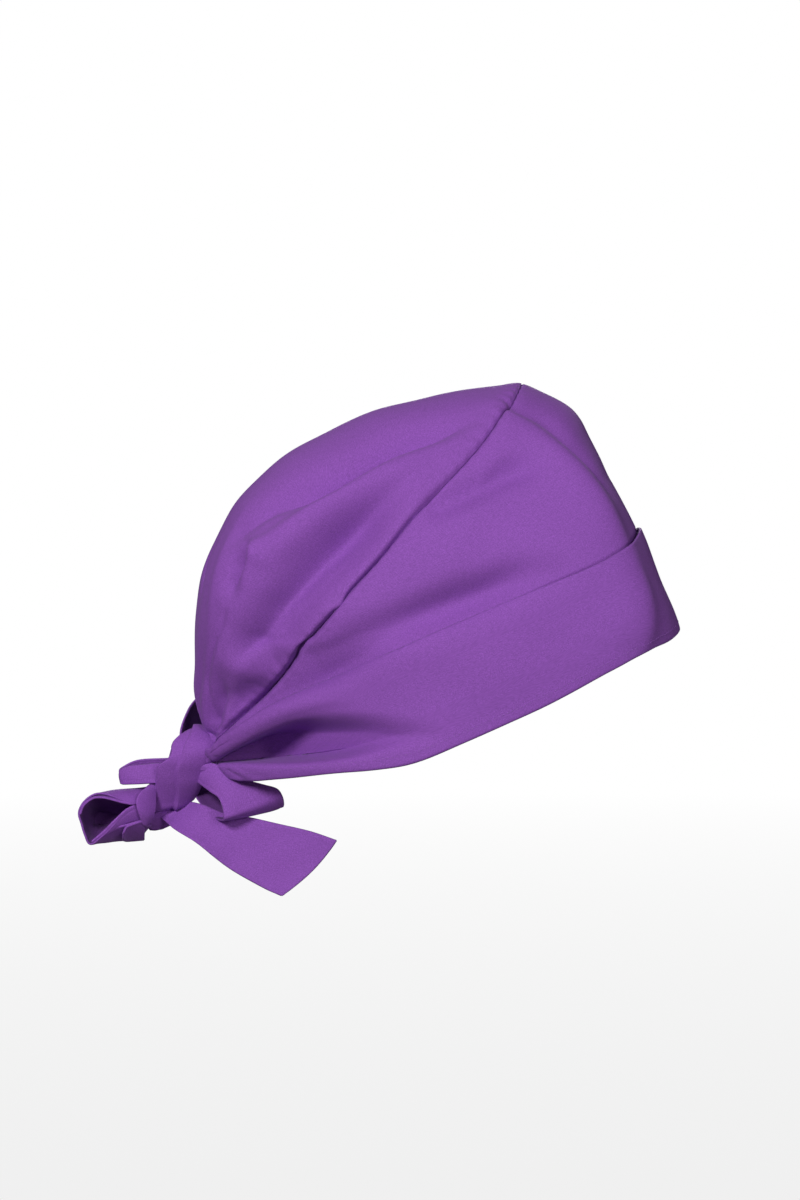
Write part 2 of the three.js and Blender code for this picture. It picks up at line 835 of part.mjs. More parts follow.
// The cuff's section runs from a tuck inside the rim, round under it, and up outside to the lip.
// grow swells it by a clearance, for the room it takes up.
function cuffGeometry(grow = 0) {
  const outer = [];
  const inner = [];
  panelRows.forEach((panelRow, i) => {
    const normals = panelNormals[i];
    const up = panelRow[1].clone().sub(panelRow[0]).normalize();
    const share = Math.abs(ROUNDS[i]);
    const out = [];
    const into = [];
    const add = (j, farLevel, nearLevel, farDrop, nearDrop) => {
      const place = (level, drop) =>
        panelRow[j].clone().addScaledVector(normals[j], level).addScaledVector(up, -drop);
      out.push(place(farLevel, farDrop));
      into.push(place(nearLevel, nearDrop));
    };
    const far = GAP + CUFF_CLOTH;
    add(1, -CLOTH - far - grow, -CLOTH - GAP + grow, 0, 0);
    add(0, -CLOTH - far - grow, -CLOTH - GAP + grow, 0, 0);
    add(0, -CLOTH / 2, -CLOTH / 2, far + grow, GAP - grow);
    CUFF_UPS.forEach((height, j) => {
      const lipSize = THREE.MathUtils.lerp(
        LIP.front,
        LIP.side,
        THREE.MathUtils.smoothstep(share, 0.05, 0.4),
      );
      const lip = lipSize * THREE.MathUtils.smoothstep(height, 0.1, CUFF_SHARE);
      add(j, far + lip + grow, GAP + lip - grow, 0, 0);
    });
    outer.push(out);
    inner.push(into);
  });
  return wallGeometry(outer, inner);
}

// Knot and bow

function bandPoint(frame, size, turn, across, grow = 0) {
  const swell = size.bulge * (1 - across * across) + grow;
  return frame.centre
    .clone()
    .addScaledVector(frame.along, across * (size.halfLength + grow))
    .addScaledVector(frame.up, Math.sin(turn) * (size.halfHeight + swell))
    .add(new THREE.Vector3(0, -Math.cos(turn) * (size.halfDepth + swell), 0));
}

const BAND_ACROSS = [-1, -0.6, -0.2, 0.2, 0.6, 1];

function bandRows(frame, size, count, grow = 0) {
  return steps(count - 1, (t) => (-t * 2 * Math.PI * (count - 1)) / count).map((turn) =>
    BAND_ACROSS.map((across) => bandPoint(frame, size, turn, across, grow)),
  );
}

function bandRoom(frame, size) {
  return wasm.Manifold.hull(
    bandRows(frame, size, 32, GAP)
      .flat()
      .map((p) => [p.x, p.y, p.z]),
  );
}

function coreGeometry(frame, size, grow = 0) {
  const geometry = new THREE.SphereGeometry(1, 18, 12);
  geometry.deleteAttribute("uv");
  geometry.deleteAttribute("normal");
  const position = geometry.attributes.position;
  const inside = TIE_CLOTH + GAP;
  for (let i = 0; i < position.count; i++) {
    const x = position.getX(i);
    const y = position.getY(i);
    const z = position.getZ(i);
    const ring = Math.max(1e-6, Math.hypot(x, z));
    const round = Math.pow(Math.max(0, 1 - Math.abs(y) ** 3.2), 0.42) / ring;
    const p = frame.centre
      .clone()
      .addScaledVector(frame.along, y * (size.halfLength * CORE_LENGTH + grow))
      .addScaledVector(frame.up, z * round * (size.halfHeight - inside + grow))
      .add(new THREE.Vector3(0, -x * round * (size.halfDepth - inside + grow), 0));
    position.setXYZ(i, p.x, p.y, p.z);
  }
  return geometry;
}

function ribbonRows(stations) {
  const rows = stations.map((s, i) => ({ at: i, ...s }));
  const edge = (n) => ["x", "y", "z"].map((axis) => smooth(rows, "at", axis + n));
  const first = edge(1);
  const second = edge(2);
  return grid(steps(2 * (rows.length - 1)), steps(4), (i, j) => {
    const at = i * (rows.length - 1);
    const a = new THREE.Vector3(...first.map((f) => f(at)));
    const b = new THREE.Vector3(...second.map((f) => f(at)));
    return a.lerp(b, j);
  });
}

// Assembly

const cloth = new THREE.MeshStandardMaterial({
  color: CAP_COLOUR,
  roughness: 0.88,
  metalness: 0,
});
const cap = new THREE.Group();
function addPiece(name, solid) {
  const mesh = new THREE.Mesh(fromSolid(solid), cloth.clone());
  mesh.name = name;
  cap.add(mesh);
}

const wrapRoom = bandRoom(KNOT_FRAME, WRAP);
const coreRoom = toSolid(coreGeometry(KNOT_FRAME, WRAP, GAP));
const turnRoom = bandRoom(TURN_FRAME, TURN);
const knotRoom = wrapRoom.add(coreRoom);

const panelRoom = knotRoom.add(toSolid(sidePanelRoom()));
addPiece("side_panel", toSolid(sidePanelGeometry()).subtract(knotRoom));
addPiece("crown_panel", toSolid(crownGeometry()).subtract(panelRoom));
addPiece("cuff", toSolid(cuffGeometry()).subtract(panelRoom));

addPiece("knot_wrap", toSolid(clothGeometry(bandRows(KNOT_FRAME, WRAP, 24), TIE_CLOTH, { closed: true })));
addPiece("knot_core", toSolid(coreGeometry(KNOT_FRAME, WRAP)));
addPiece(
  "knot_turn",
  toSolid(clothGeometry(bandRows(TURN_FRAME, TURN, 20), TIE_CLOTH, { closed: true })).subtract(knotRoom),
);

let taken = wasm.Manifold.union([
  panelRoom,
  turnRoom,
  toSolid(crownGeometry(ROOM)),
  toSolid(cuffGeometry(ROOM)),
]);
for (const [name, stations] of Object.entries(RIBBONS)) {
  const rows = ribbonRows(stations);
  const solid = toSolid(clothGeometry(rows, TIE_CLOTH)).subtract(taken);
  addPiece(name, solid);
  taken = taken.add(toSolid(clothGeometry(rows, TIE_CLOTH, { grow: GAP })));
}

export default cap;
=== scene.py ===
# %% [markdown]
# # A tie-back scrub cap in woven cotton
#
# A scrub cap is two panels of thin poplin. One runs round the head, with its lower edge turned up
# as a cuff, and the other goes over the top and back and is gathered into a curved seam. The ends
# of the cap run into flat ties, knotted in a small bow at the nape.
#
# The cloth holds no form of its own, so its look is all in how it is folded. Every panel here is a
# surface made by a rule, with the folds written down in a table: where each one runs, how wide its
# two slopes are, and how deep it is. That takes patient tuning, but it lands the folds where the
# real ones are, and it gives the same cap on each run.

# %% Load the frame
import math

import bmesh
import bpy
import numpy as np
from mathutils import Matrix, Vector


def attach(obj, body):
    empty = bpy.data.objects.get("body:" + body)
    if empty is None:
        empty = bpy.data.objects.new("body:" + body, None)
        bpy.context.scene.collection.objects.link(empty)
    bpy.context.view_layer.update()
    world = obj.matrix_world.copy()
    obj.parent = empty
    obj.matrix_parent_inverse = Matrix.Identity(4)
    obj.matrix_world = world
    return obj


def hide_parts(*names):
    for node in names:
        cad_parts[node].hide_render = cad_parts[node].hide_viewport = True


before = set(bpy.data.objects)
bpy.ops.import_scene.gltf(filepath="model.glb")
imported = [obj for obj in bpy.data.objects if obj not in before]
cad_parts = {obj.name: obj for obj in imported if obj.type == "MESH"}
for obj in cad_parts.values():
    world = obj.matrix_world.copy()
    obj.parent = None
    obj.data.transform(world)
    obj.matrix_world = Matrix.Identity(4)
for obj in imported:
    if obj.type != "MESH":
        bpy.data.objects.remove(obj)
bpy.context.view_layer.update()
MM = 0.001


def add_object(name, data):
    made = bpy.data.objects.new(name, data)
    bpy.context.scene.collection.objects.link(made)
    return made


# %% [markdown]
# ## Camera
#
# The cap is seen from the wearer's right side, level, from under two metres away. A long lens keeps
# the near and the far cuff close in size. Looking along +Y, the forehead is on the right.

# %% Camera
CAMERA_PLACE = (-0.025, -1.667, 0.050)
camera_data = bpy.data.cameras.new("camera")
camera_data.lens, camera_data.sensor_width = 100.0, 36.0
camera = add_object("camera", camera_data)
camera.location = CAMERA_PLACE
camera.rotation_euler = (math.radians(90.0), 0.0, 0.0)
bpy.context.scene.camera = camera
EYE = np.array(CAMERA_PLACE) / MM
print("camera at", CAMERA_PLACE)

# %% [markdown]
# ## The head form
#
# All the panels lie on one smooth form. Seen from the side it has an outline, which is a table of
# distances from the middle of the head. Across, each place has a half-width that falls to nothing
# at the outline: a superellipse, whose squareness and taper also come from the table. Working from
# the side view makes it easy to keep the outline that the real cap shows.

# %% The head form
HEAD_CENTRE = (-10.0, 40.0)
HALF_WIDTH = 80.0
KNOT_PLACE = (-121.0, -28.0)
# the bunch of cloth at the knot, and the cone that gathers the cap towards it, in mm
BUNDLE_HALF, BUNDLE_REACH = 9.0, 15.0
GATHER_HALF, GATHER_SLOPE, GATHER_BLEND = 7.0, 0.95, 4
# the even values of the middle, and the distances over which they give way to the table's
MIDDLE_SQUARENESS, MIDDLE_TAPER = 2.6, 0.5
MIDDLE_FROM, MIDDLE_TO = 8, 50
NORMAL_STEP = 0.5

# angle in degrees above straight ahead, reach in mm, squareness, taper
OUTLINE = np.array([
    (-90, 200, 2.2, 0.5), (-60, 168, 2.3, 0.5), (-30, 142, 3.0, 0.5), (-10, 127, 4.8, 0.4),
    (-2, 122.4, 5.8, 0.37), (10, 115.0, 6.1, 0.36), (24, 111.7, 5.9, 0.37), (38, 113.8, 4.4, 0.43),
    (44, 117.4, 3.6, 0.46), (49, 121.2, 3.0, 0.48), (53.5, 125.6, 2.6, 0.5), (57, 127.3, 2.4, 0.5),
    (63, 127.0, 2.3, 0.5), (69, 126.1, 2.3, 0.5), (74, 120.8, 2.3, 0.5), (82, 115.8, 2.3, 0.5),
    (93, 109.6, 2.3, 0.5), (103, 107.3, 2.2, 0.5), (118, 106.8, 2.2, 0.5), (129, 108.8, 2.2, 0.5),
    (140, 110.2, 2.5, 0.5), (151, 112.6, 3.0, 0.48), (168, 115.0, 3.4, 0.46), (178, 115.8, 3.2, 0.46),
    (190, 118.7, 2.5, 0.5), (197, 121.9, 1.95, 0.6), (209, 125.0, 1.8, 0.68),
    (221, 131, 1.9, 0.66), (237, 146, 2.0, 0.56), (255, 178, 2.1, 0.5), (270, 200, 2.2, 0.5),
], float)


def smooth(xs, ys):
    """A smooth function through the points (xs, ys)."""
    xs, ys = np.asarray(xs, float), np.asarray(ys, float)
    before, after = np.r_[0, np.arange(len(xs) - 1)], np.r_[np.arange(1, len(xs)), len(xs) - 1]
    slope = (ys[after] - ys[before]) / (xs[after] - xs[before])

    def value(at):
        at = np.asarray(at, float)
        i = np.clip(np.searchsorted(xs, at, side="right") - 1, 0, len(xs) - 2)
        span = xs[i + 1] - xs[i]
        t = np.clip((at - xs[i]) / span, 0, 1)
        return (ys[i] * (2 * t**3 - 3 * t**2 + 1) + slope[i] * span * (t**3 - 2 * t**2 + t)
                + ys[i + 1] * (3 * t**2 - 2 * t**3) + slope[i + 1] * span * (t**3 - t**2))

    return value


def curve_through(values, at):
    """A smooth curve through values that stand at 0, 1, 2 and so on."""
    return smooth(np.arange(len(values)), values)(at)


def columns(table):
    """The other columns of a table, each as a smooth function of its first column."""
    return [smooth(table[:, 0], column) for column in table.T[1:]]


reach_at, squareness_at, taper_at = columns(OUTLINE)


def smoothstep(x, low, high):
    t = np.clip((np.asarray(x, float) - low) / (high - low), 0, 1)
    return t * t * (3 - 2 * t)


def mix(a, b, t):
    return a + (b - a) * t


def unit(v):
    return v / np.maximum(np.linalg.norm(v, axis=-1, keepdims=True), 1e-9)


def polar(x, z):
    angle = np.degrees(np.arctan2(z - HEAD_CENTRE[1], x - HEAD_CENTRE[0]))
    return np.where(angle < -90, angle + 360, angle), np.hypot(x - HEAD_CENTRE[0], z - HEAD_CENTRE[1])


def outline_place(angle):
    a = np.radians(angle)
    return HEAD_CENTRE[0] + reach_at(angle) * np.cos(a), HEAD_CENTRE[1] + reach_at(angle) * np.sin(a)


def shape_at(angle, distance):
    """Squareness and taper, led over to even values at the middle, where all angles meet."""
    out = smoothstep(distance, MIDDLE_FROM, MIDDLE_TO)
    return mix(MIDDLE_SQUARENESS, squareness_at(angle), out), mix(MIDDLE_TAPER, taper_at(angle), out)


def half_width(x, z):
    angle, distance = polar(x, z)
    squareness, taper = shape_at(angle, distance)
    left = np.maximum(1 - (distance / reach_at(angle)) ** squareness, 0)
    return HALF_WIDTH * left**taper


def form_normal(place):
    """Outward normals of the head form, from the gradient of its level function."""
    x, y, z = place[..., 0], place[..., 1], place[..., 2]
    away = np.abs(y) / HALF_WIDTH

    def level(px, pz):
        angle, distance = polar(px, pz)
        squareness, taper = shape_at(angle, distance)
        return away ** (1 / taper) + (distance / reach_at(angle)) ** squareness

    power = 1 / shape_at(*polar(x, z))[1]
    slope = power / HALF_WIDTH * away ** (power - 1) * np.sign(y) * 2 * NORMAL_STEP
    return unit(np.stack([level(x + NORMAL_STEP, z) - level(x - NORMAL_STEP, z), slope,
                          level(x, z + NORMAL_STEP) - level(x, z - NORMAL_STEP)], axis=-1))


def bundle(x, z):
    """Extra half-width near the knot, where the cloth is bunched."""
    away = np.hypot(x - KNOT_PLACE[0], z - KNOT_PLACE[1])
    return BUNDLE_HALF * np.exp(-((away / BUNDLE_REACH) ** 2))


def cloth_width(x, z):
    """Half-width of the cap: the form's own, but no wider than a cone that runs into the knot."""
    free = half_width(x, z) + bundle(x, z)
    cone = GATHER_HALF + GATHER_SLOPE * np.hypot(x - KNOT_PLACE[0], z - KNOT_PLACE[1])
    return free * (1 + (free / cone) ** GATHER_BLEND) ** (-1 / GATHER_BLEND)


print("the head form is", 2 * HALF_WIDTH, "mm wide")

# %% [markdown]
# ## Rim, cuff edge and seam
#
# Three lines cross the side view from the forehead back to the knot: the rim, the top edge of the
# turned-up cuff, and the seam between the panels. Each is kept as a function of its own real
# length, so that cloth which follows two of them stays evenly spaced between them.

# %% Rim, cuff edge and seam
# the angle at which each leaves the forehead's outline, then its places x and z back to the knot
RIM_LINE = (-1.7, [(104.5, 31), (91, 26), (76, 18), (42, -0.5), (4, -17.5), (-18, -26.5), (-36, -30.3),
                   (-56, -33), (-80, -36.3), (-100, -38.3), (-112, -37), (-120, -34.5), (-127, -33)])
CUFF_LINE = (23.7, [(87, 78), (71, 67.5), (36, 52.5), (-14, 31), (-54, 13), (-80, 0.5), (-94, -8),
                    (-107, -16.5), (-118, -24.5), (-126, -30)])
SEAM_LINE = (68.9, [(28, 144.5), (12, 123), (-19, 91), (-47, 58), (-57.8, 44.6), (-82.5, 14.0),
                    (-105, -6.6), (-118, -20), (-126, -27)])
LINES = (RIM_LINE, CUFF_LINE, SEAM_LINE)
STRING_STEPS, STRING_CROWDING = 301, 1.6


def side_string(start_angle, points):
    """A line's places in the side view, as a function of the share of its length, from the front."""
    xs, zs = np.array([outline_place(start_angle), *points], float).T
    at = np.linspace(0, 1, STRING_STEPS) ** STRING_CROWDING * (len(xs) - 1)
    x, z = curve_through(xs, at), curve_through(zs, at)
    y = half_width(x, z)
    y[0] = 0
    length = np.r_[0, np.cumsum(np.sqrt(np.diff(x) ** 2 + np.diff(y) ** 2 + np.diff(z) ** 2))]

    def place(share):
        want = np.clip(share, 0, 1) * length[-1]
        return np.interp(want, length, x), np.interp(want, length, z)

    place.length = length[-1]
    return place


STRINGS = [side_string(*line) for line in LINES]
seam_string = STRINGS[2]
print("half lengths of rim, cuff edge and seam, in mm:", [round(string.length) for string in STRINGS])

# %% [markdown]
# ## The folds
#
# Each row is one fold, drawn as it is seen from the right side. Height is along the cloth's outward
# normal, and left and right are the widths of its two slopes, walking along the path. Crisp says
# how sharply its crest breaks (1 is a pressed crease, 2 a soft round roll, 3 a flat-topped one),
# lean pushes the crest over to the left or, below zero, to the right, so that a roll can hang over
# the dark valley beside it, and the two shares say how much is left at its ends. The deep pocket by
# the knot has a table of its own, because it goes straight in towards the middle. The far side has
# the same folds, shifted and softened, since the same knot gathers it.

# %% The folds
# name, height, left, right, crisp, lean, start share, end share, path
SIDE_FOLDS = [
    ("cuff_top_roll", 4.0, 7, 4, 2, 0, 0.5, 0,
     [(-120, -28.5), (-110, -21.5), (-100, -14.5), (-84, -5.5), (-62, 0), (-36, 2)]),
    ("rim_roll", 3, 4.5, 6, 2, 1.2, 0.3, 0,
     [(-116, -33), (-98, -35), (-75, -35), (-50, -33), (-24, -29)]),
    ("panel_tuck", -4.5, 7, 1.8, 1.6, 0, 0.4, 0,
     [(-112, -17.3), (-103, -11), (-95, -6), (-80, 1.2), (-64, 7.8), (-46, 16.5), (-28, 26)]),
    ("side_hollow", -9, 9, 9, 2, 0, 0.25, 0.2,
     [(52, 64), (36, 61), (20, 55), (2, 48), (-20, 39.5), (-44, 30), (-66, 17)]),
    ("cuff_side_hollow", -2.2, 6, 5, 2, 0, 0, 0, [(-20, 38), (-38, 24), (-56, 14), (-76, 2)]),
    ("upper_hollow", -5.5, 7, 7, 2, 0, 0.8, 0, [(-6, 97), (10, 104), (26, 112.5), (40, 117), (54, 119)]),
    ("forehead_edge", 6, 10, 14, 1.7, 0, 0.3, 0.15,
     [(22, 146), (34, 138), (45, 129.5), (55, 120.5), (64, 110.5), (73, 99), (80.5, 88), (88, 74), (95, 54)]),
    ("forehead_crease", -3.6, 7, 3.5, 1.7, 0, 0.5, 0,
     [(30, 147), (38, 142.5), (48, 137), (57, 128), (67, 117.5), (76, 106), (84, 95)]),
    ("forehead_pinch", -1.4, 1.3, 1.6, 1.5, 0, 0.2, 0, [(28.5, 148), (32, 145), (37, 142.6), (43, 140.5)]),
    ("crown_crease", -8.5, 5, 9, 1.6, 0, 0, 0.3,
     [(24, 142), (8, 137), (-5, 132.6), (-24, 125.5), (-43, 116.3), (-61, 106.5), (-76, 100.4), (-91, 93.7),
      (-103, 84)]),
    ("crown_ridge", 6.5, 8, 7, 3, 0, 0, 0.6,
     [(10, 134), (-6, 127.5), (-22, 118.5), (-36, 110), (-47, 103.5), (-59, 96.5), (-71, 89), (-83, 81.5),
      (-93, 75)]),
    ("crown_second_crease", -1.3, 3, 4, 1.4, 0, 0, 0.2, [(-66, 113), (-79, 104), (-91, 95), (-103, 84)]),
    ("crown_hollow", -18, 17, 10.5, 2, 0, 0, 0.7,
     [(-18, 114), (-32, 104), (-43.5, 94.5), (-55, 83.5), (-66, 72.5), (-77, 60.5), (-87, 48), (-93, 37),
      (-98, 28)]),
    ("pouch_bottom", 2.8, 9, 5, 2, 0, 0, 0.2,
     [(-84, 36), (-92, 24.5), (-98, 19), (-104, 16.5), (-109, 20), (-112, 30)]),
    ("seam_fold_line", 1.2, 3, 8, 1.8, 0, 0, 0.7,
     [(-40, 88), (-52, 75), (-64.3, 62.9), (-84, 40.7), (-92, 29)]),
    ("under_pouch", -2.2, 8, 9, 2, 0, 0.6, 0.2, [(-91, 8), (-99, 3), (-107, 2), (-113, 8)]),
    ("crown_corner", -5.5, 3, 9, 2, 0, 0.2, 0.3, [(-88, 13), (-97, 3.5), (-106, -5), (-114, -13)]),
    ("back_dimple", -4.5, 5, 6, 2, 0, 0.1, 0, [(-101, 77), (-105, 68), (-109, 58), (-113, 47)]),
    ("dimple_edge", 2.6, 4, 1.6, 1.6, 0, 0.1, 0,
     [(-103.6, 82.5), (-98.6, 79), (-98, 73.4), (-100.3, 66.8), (-104.9, 59.6), (-110.1, 53.7)]),
    ("back_groove", -1.7, 2.4, 2.0, 1.6, 0, 0, 1,
     [(-110, 54), (-112.5, 45), (-114.5, 37), (-118, 28), (-120.5, 14), (-120.5, 0), (-120, -10)]),
    ("back_ridge", 1.0, 4, 4, 2, 0, 0, 0,
     [(-94, 105), (-102, 95), (-108.5, 84), (-113, 72), (-117, 57), (-119.5, 42), (-122, 22), (-121, 4)]),
    ("back_sliver", -2.2, 2, 2.4, 1.8, 0, 0, 0, [(-114, 82), (-119.5, 72), (-122.5, 60), (-124.5, 46)]),
    ("nape_pleat", -5, 3, 4.5, 1.8, 0, 0, 1, [(-112, 12), (-115, 0), (-118, -11), (-120, -20)]),
    ("cuff_front_edge", 3.2, 7, 20, 1.8, 0, 0.3, 0.5,
     [(84, 80), (90, 64), (95, 50), (97, 38), (95, 28), (88, 20)]),
]
FAR_SHIFT, FAR_SOFTEN, FAR_POCKET = (5.0, -3.0), 0.8, 0.7
FOLD_STEPS = 5  # between two places of a path
FOLD_END = 0.4  # the share of a path over which its end tapers
FOLD_REACH = 3.2  # widths from the path at which a fold has died away
# the deep pocket in the cuff: seen x, its top and bottom edges, depth under the top edge, softness
# of the two edges, and how much deeper it is at its foot
POCKET = np.array([
    (-121, -30, -32.8, 4, 1.5, 0.8, 0.1), (-116.7, -28, -33, 11, 1.8, 0.9, 0.1),
    (-111, -23.7, -33.2, 17, 2, 1.0, 0.1), (-106, -20.7, -33.3, 21, 2.2, 1.2, 0.1),
    (-100, -17.5, -33.4, 23.5, 2.8, 1.5, 0.12), (-94, -14.2, -33.6, 25.5, 3.6, 2, 0.12),
    (-87, -11, -33.8, 25.5, 5.5, 3, 0.12), (-80, -8.2, -34, 23, 8, 4, 0.2),
    (-72, -6.3, -33.8, 17.5, 10, 5, 0.4), (-62, -5, -33.3, 12.5, 12, 6, 0.7),
    (-50, -4.6, -31.5, 8.5, 12, 7, 1.0), (-38, -5, -28.5, 5, 12, 8, 1.2),
    (-26, -6.5, -26.5, 2.8, 12, 9, 1.2), (-14, -8.5, -25, 1.2, 10, 10, 1), (0, -9, -25, 0, 10, 10, 1)], float)


def on_form(x, z, side):
    return np.stack([x, side * cloth_width(x, z), z], axis=-1)


def from_view(x, z):
    """Side-view places on the near side, from where the camera sees them."""
    near_x, near_z = x, z
    for _ in range(3):
        nearer = 1 - cloth_width(near_x, near_z) / -EYE[1]
        near_x, near_z = mix(EYE[0], x, nearer), mix(EYE[2], z, nearer)
    return near_x, near_z


def fold_lines():
    """Every fold on both sides, with its path as places on the form."""
    lines = []
    for _, height, left, right, crisp, lean, start, end, path in SIDE_FOLDS:
        for side in (-1, 1):
            shift, soften = (FAR_SHIFT, FAR_SOFTEN) if side > 0 else ((0.0, 0.0), 1.0)
            xs, zs = np.array(path, float).T + np.array([shift]).T
            at = np.linspace(0, len(xs) - 1, FOLD_STEPS * (len(xs) - 1) + 1)
            points = on_form(*from_view(curve_through(xs, at), curve_through(zs, at)), side)
            lines.append((side, height * soften, left, right, crisp, lean * soften, start, end, points))
    return lines


FOLD_LINES = fold_lines()


def fold_shift(place, normal):
    """How far all the folds together move each place of the form."""
    p, n = place.reshape(-1, 3), normal.reshape(-1, 3)
    shift = np.zeros_like(p)
    for side, height, left, right, crisp, lean, start, end, points in FOLD_LINES:
        reach = FOLD_REACH * max(left, right)
        near = np.flatnonzero(((p > points.min(0) - reach) & (p < points.max(0) + reach)).all(1))
        if not len(near):
            continue
        q, out = p[near], n[near]
        best = np.full(len(q), 1e9)
        along, signed = np.zeros(len(q)), np.zeros(len(q))
        leftward = np.zeros_like(q)
        count = len(points) - 1
        for k in range(count):
            segment = points[k + 1] - points[k]
            offset = q - points[k]
            t = np.clip(offset @ segment / (segment @ segment), 0, 1)
            away = np.linalg.norm(offset - t[:, None] * segment, axis=1)
            closer = away < best
            best[closer] = away[closer]
            along[closer] = (k + t[closer]) / count
            to_left = side * np.cross(segment, out)
            beside = np.einsum("ij,ij->i", offset, to_left) / np.linalg.norm(to_left, axis=1)
            signed[closer], leftward[closer] = beside[closer], to_left[closer]
        width = mix(right, left, 0.5 + 0.5 * np.clip(signed / np.maximum(best, 1e-9), -1, 1))
        ends = np.where(along < 0.5, mix(start, 1, smoothstep(along, 0, FOLD_END)),
                        mix(1, end, smoothstep(along, 1 - FOLD_END, 1)))
        amount = ends * np.exp(-((best / width) ** crisp))
        shift[near] += (out * height + unit(leftward) * lean) * amount[:, None]
    return shift.reshape(place.shape)


pocket_columns = columns(POCKET)


def pocket(place, side):
    """How far the pocket takes each place of the cuff straight in, towards the middle of the cap."""
    grow = 1 / (1 - np.abs(place[..., 1]) / -EYE[1])
    far = side > 0
    x, z = (mix(EYE[k], place[..., k], grow) - shift * far for k, shift in zip((0, 2), FAR_SHIFT))
    top, bottom, depth, top_soft, bottom_soft, more = (column(x) for column in pocket_columns)
    lean = 1 + more * np.clip((top - z) / (top - bottom), 0, 1)
    edges = smoothstep(top - z, 0, top_soft) * smoothstep(z - bottom, 0, bottom_soft)
    return depth * lean * edges * np.where(far, FAR_POCKET, 1)


print(len(FOLD_LINES), "fold lines on the two sides")

# %% [markdown]
# ## Small wrinkles
#
# Poplin that is drawn into a knot also has fine creases that run out of it like rays and die away
# after a few centimetres. They are waves in the angle round the knot. Away from it, slow waves of
# a few tenths of a millimetre keep the panels from looking pressed.

# %% Small wrinkles
# waves in a turn round the knot, phase, height
RAYS = [(23, 0.3, 0.5), (37, 1.7, 0.3), (11, 4.1, 0.5)]
RAYS_FROM, RAYS_FULL, RAYS_FADE = 8, 22, 26  # distances from the knot
RAYS_DEPTH, RAYS_SIDE = 0.6, 0.15  # how much depth counts, and how far the two sides differ
# waves in a mm along x and along z, phase, height
SLOW_WAVES = [(0.006, 0.017, 0.4, 0.35), (0.019, -0.011, 2.2, 0.25), (0.012, 0.028, 5.0, 0.14),
              (0.034, 0.009, 1.1, 0.06)]
DRIFT = 0.02


def wrinkles(place):
    x, y, z = place[..., 0], place[..., 1], place[..., 2]
    from_knot = np.sqrt((x - KNOT_PLACE[0]) ** 2 + (RAYS_DEPTH * y) ** 2 + (z - KNOT_PLACE[1]) ** 2)
    angle = np.arctan2(z - KNOT_PLACE[1], x - KNOT_PLACE[0]) + RAYS_SIDE * np.sign(y)
    rays = sum(size * np.sin(count * angle + phase + DRIFT * from_knot) for count, phase, size in RAYS)
    rays = rays * np.exp(-from_knot / RAYS_FADE) * smoothstep(from_knot, RAYS_FROM, RAYS_FULL)
    slow = sum(size * np.sin(2 * math.pi * (a * x + b * z) + phase + DRIFT * y)
               for a, b, phase, size in SLOW_WAVES)
    return rays + slow


# %% [markdown]
# ## The side panel and the crown panel
#
# The side panel is a ruled strip between rim, cuff edge and seam. At the forehead it leaves the
# straight rule and follows the outline, so the two sides meet without a crease. The crown panel is
# a fan of ribs from the middle line to the seam. The two meet in a groove: narrow and puckered by
# its stitches over the top, and open and deep near the knot, where the loose crown cloth rolls out
# beside it. A short table gives the groove's depth and the roll's size along the seam.

# %% The side panel and the crown panel
CUFF_SHARE = 0.36  # of the way from the rim up to the seam
FRONT_FADE = 0.32  # the share of a side in which the panel follows the outline
SEAM_GAP = 0.2
CROWN_BACK_ANGLE = 209.0  # where the crown panel's middle line leaves the knot
ROLL_PEAK, ROLL_OVER_PEAK = 7.0, 2  # distances from the seam
CROWN_EDGE_UP = 0.3
FULL_RIB = 40  # a rib of this length has all its folds
APART_BEHIND, APART = -40, 5  # behind this x, the two sides stay about this far apart
# share of the seam from the knot to the top, groove depth, its half-width in the side panel and in
# the crown panel, roll out, roll over
SEAM = np.array([
    (0, 3, 1.3, 1.3, 0.3, 0), (0.12, 5, 1.3, 1.2, 0.3, 0), (0.28, 5.5, 1.4, 1.2, 0.6, 0),
    (0.38, 4.8, 1.3, 1.2, 1.0, 0), (0.43, 3.4, 1.2, 1.2, 1.6, 0.6), (0.52, 3.8, 1.2, 1.2, 1.6, 0.4),
    (0.62, 2.4, 1.2, 1.2, 1.5, 0.3), (0.72, 1.4, 1.2, 1.2, 1.2, 0.2), (0.86, 1.3, 1.2, 1.2, 1.2, 0.2),
    (1, 1.0, 1.2, 1.2, 0.8, 0.2)])
groove_depth_at, groove_width_at, crown_groove_at, roll_out_at, roll_over_at = columns(SEAM)
PUCKER_PITCH, PUCKER_FROM, PUCKER_FADE = 7.5, 1.5, 3.5
PUCKER_LOW, PUCKER_HIGH = 0.36, 0.675  # near the knot, over the top
PUCKER_DRIFT, PUCKER_DRIFT_LENGTH = 1.3, 11
JOG_SHARE, JOG_SIZE, JOG_WIDTH = 0.435, 1.8, 0.012
GATHERS = dict(count=7, height=0.8, until=0.36)


def puckers(share, from_seam, side):
    """Stitching draws the cloth beside the seam into small waves."""
    length = share * seam_string.length
    drift = PUCKER_DRIFT * np.sin(length / PUCKER_DRIFT_LENGTH)
    wave = np.sin(2 * math.pi * length / PUCKER_PITCH + drift + side)
    size = mix(PUCKER_LOW, PUCKER_HIGH, smoothstep(share, 0.6, 0.9))
    return size * wave * np.exp(-from_seam / PUCKER_FADE) * smoothstep(from_seam, 0, PUCKER_FROM)


def rise_and_fade(distance, peak):
    """From 0 at the seam up to 1 at the peak, and slowly down again."""
    return distance / peak * np.exp(1 - distance / peak)


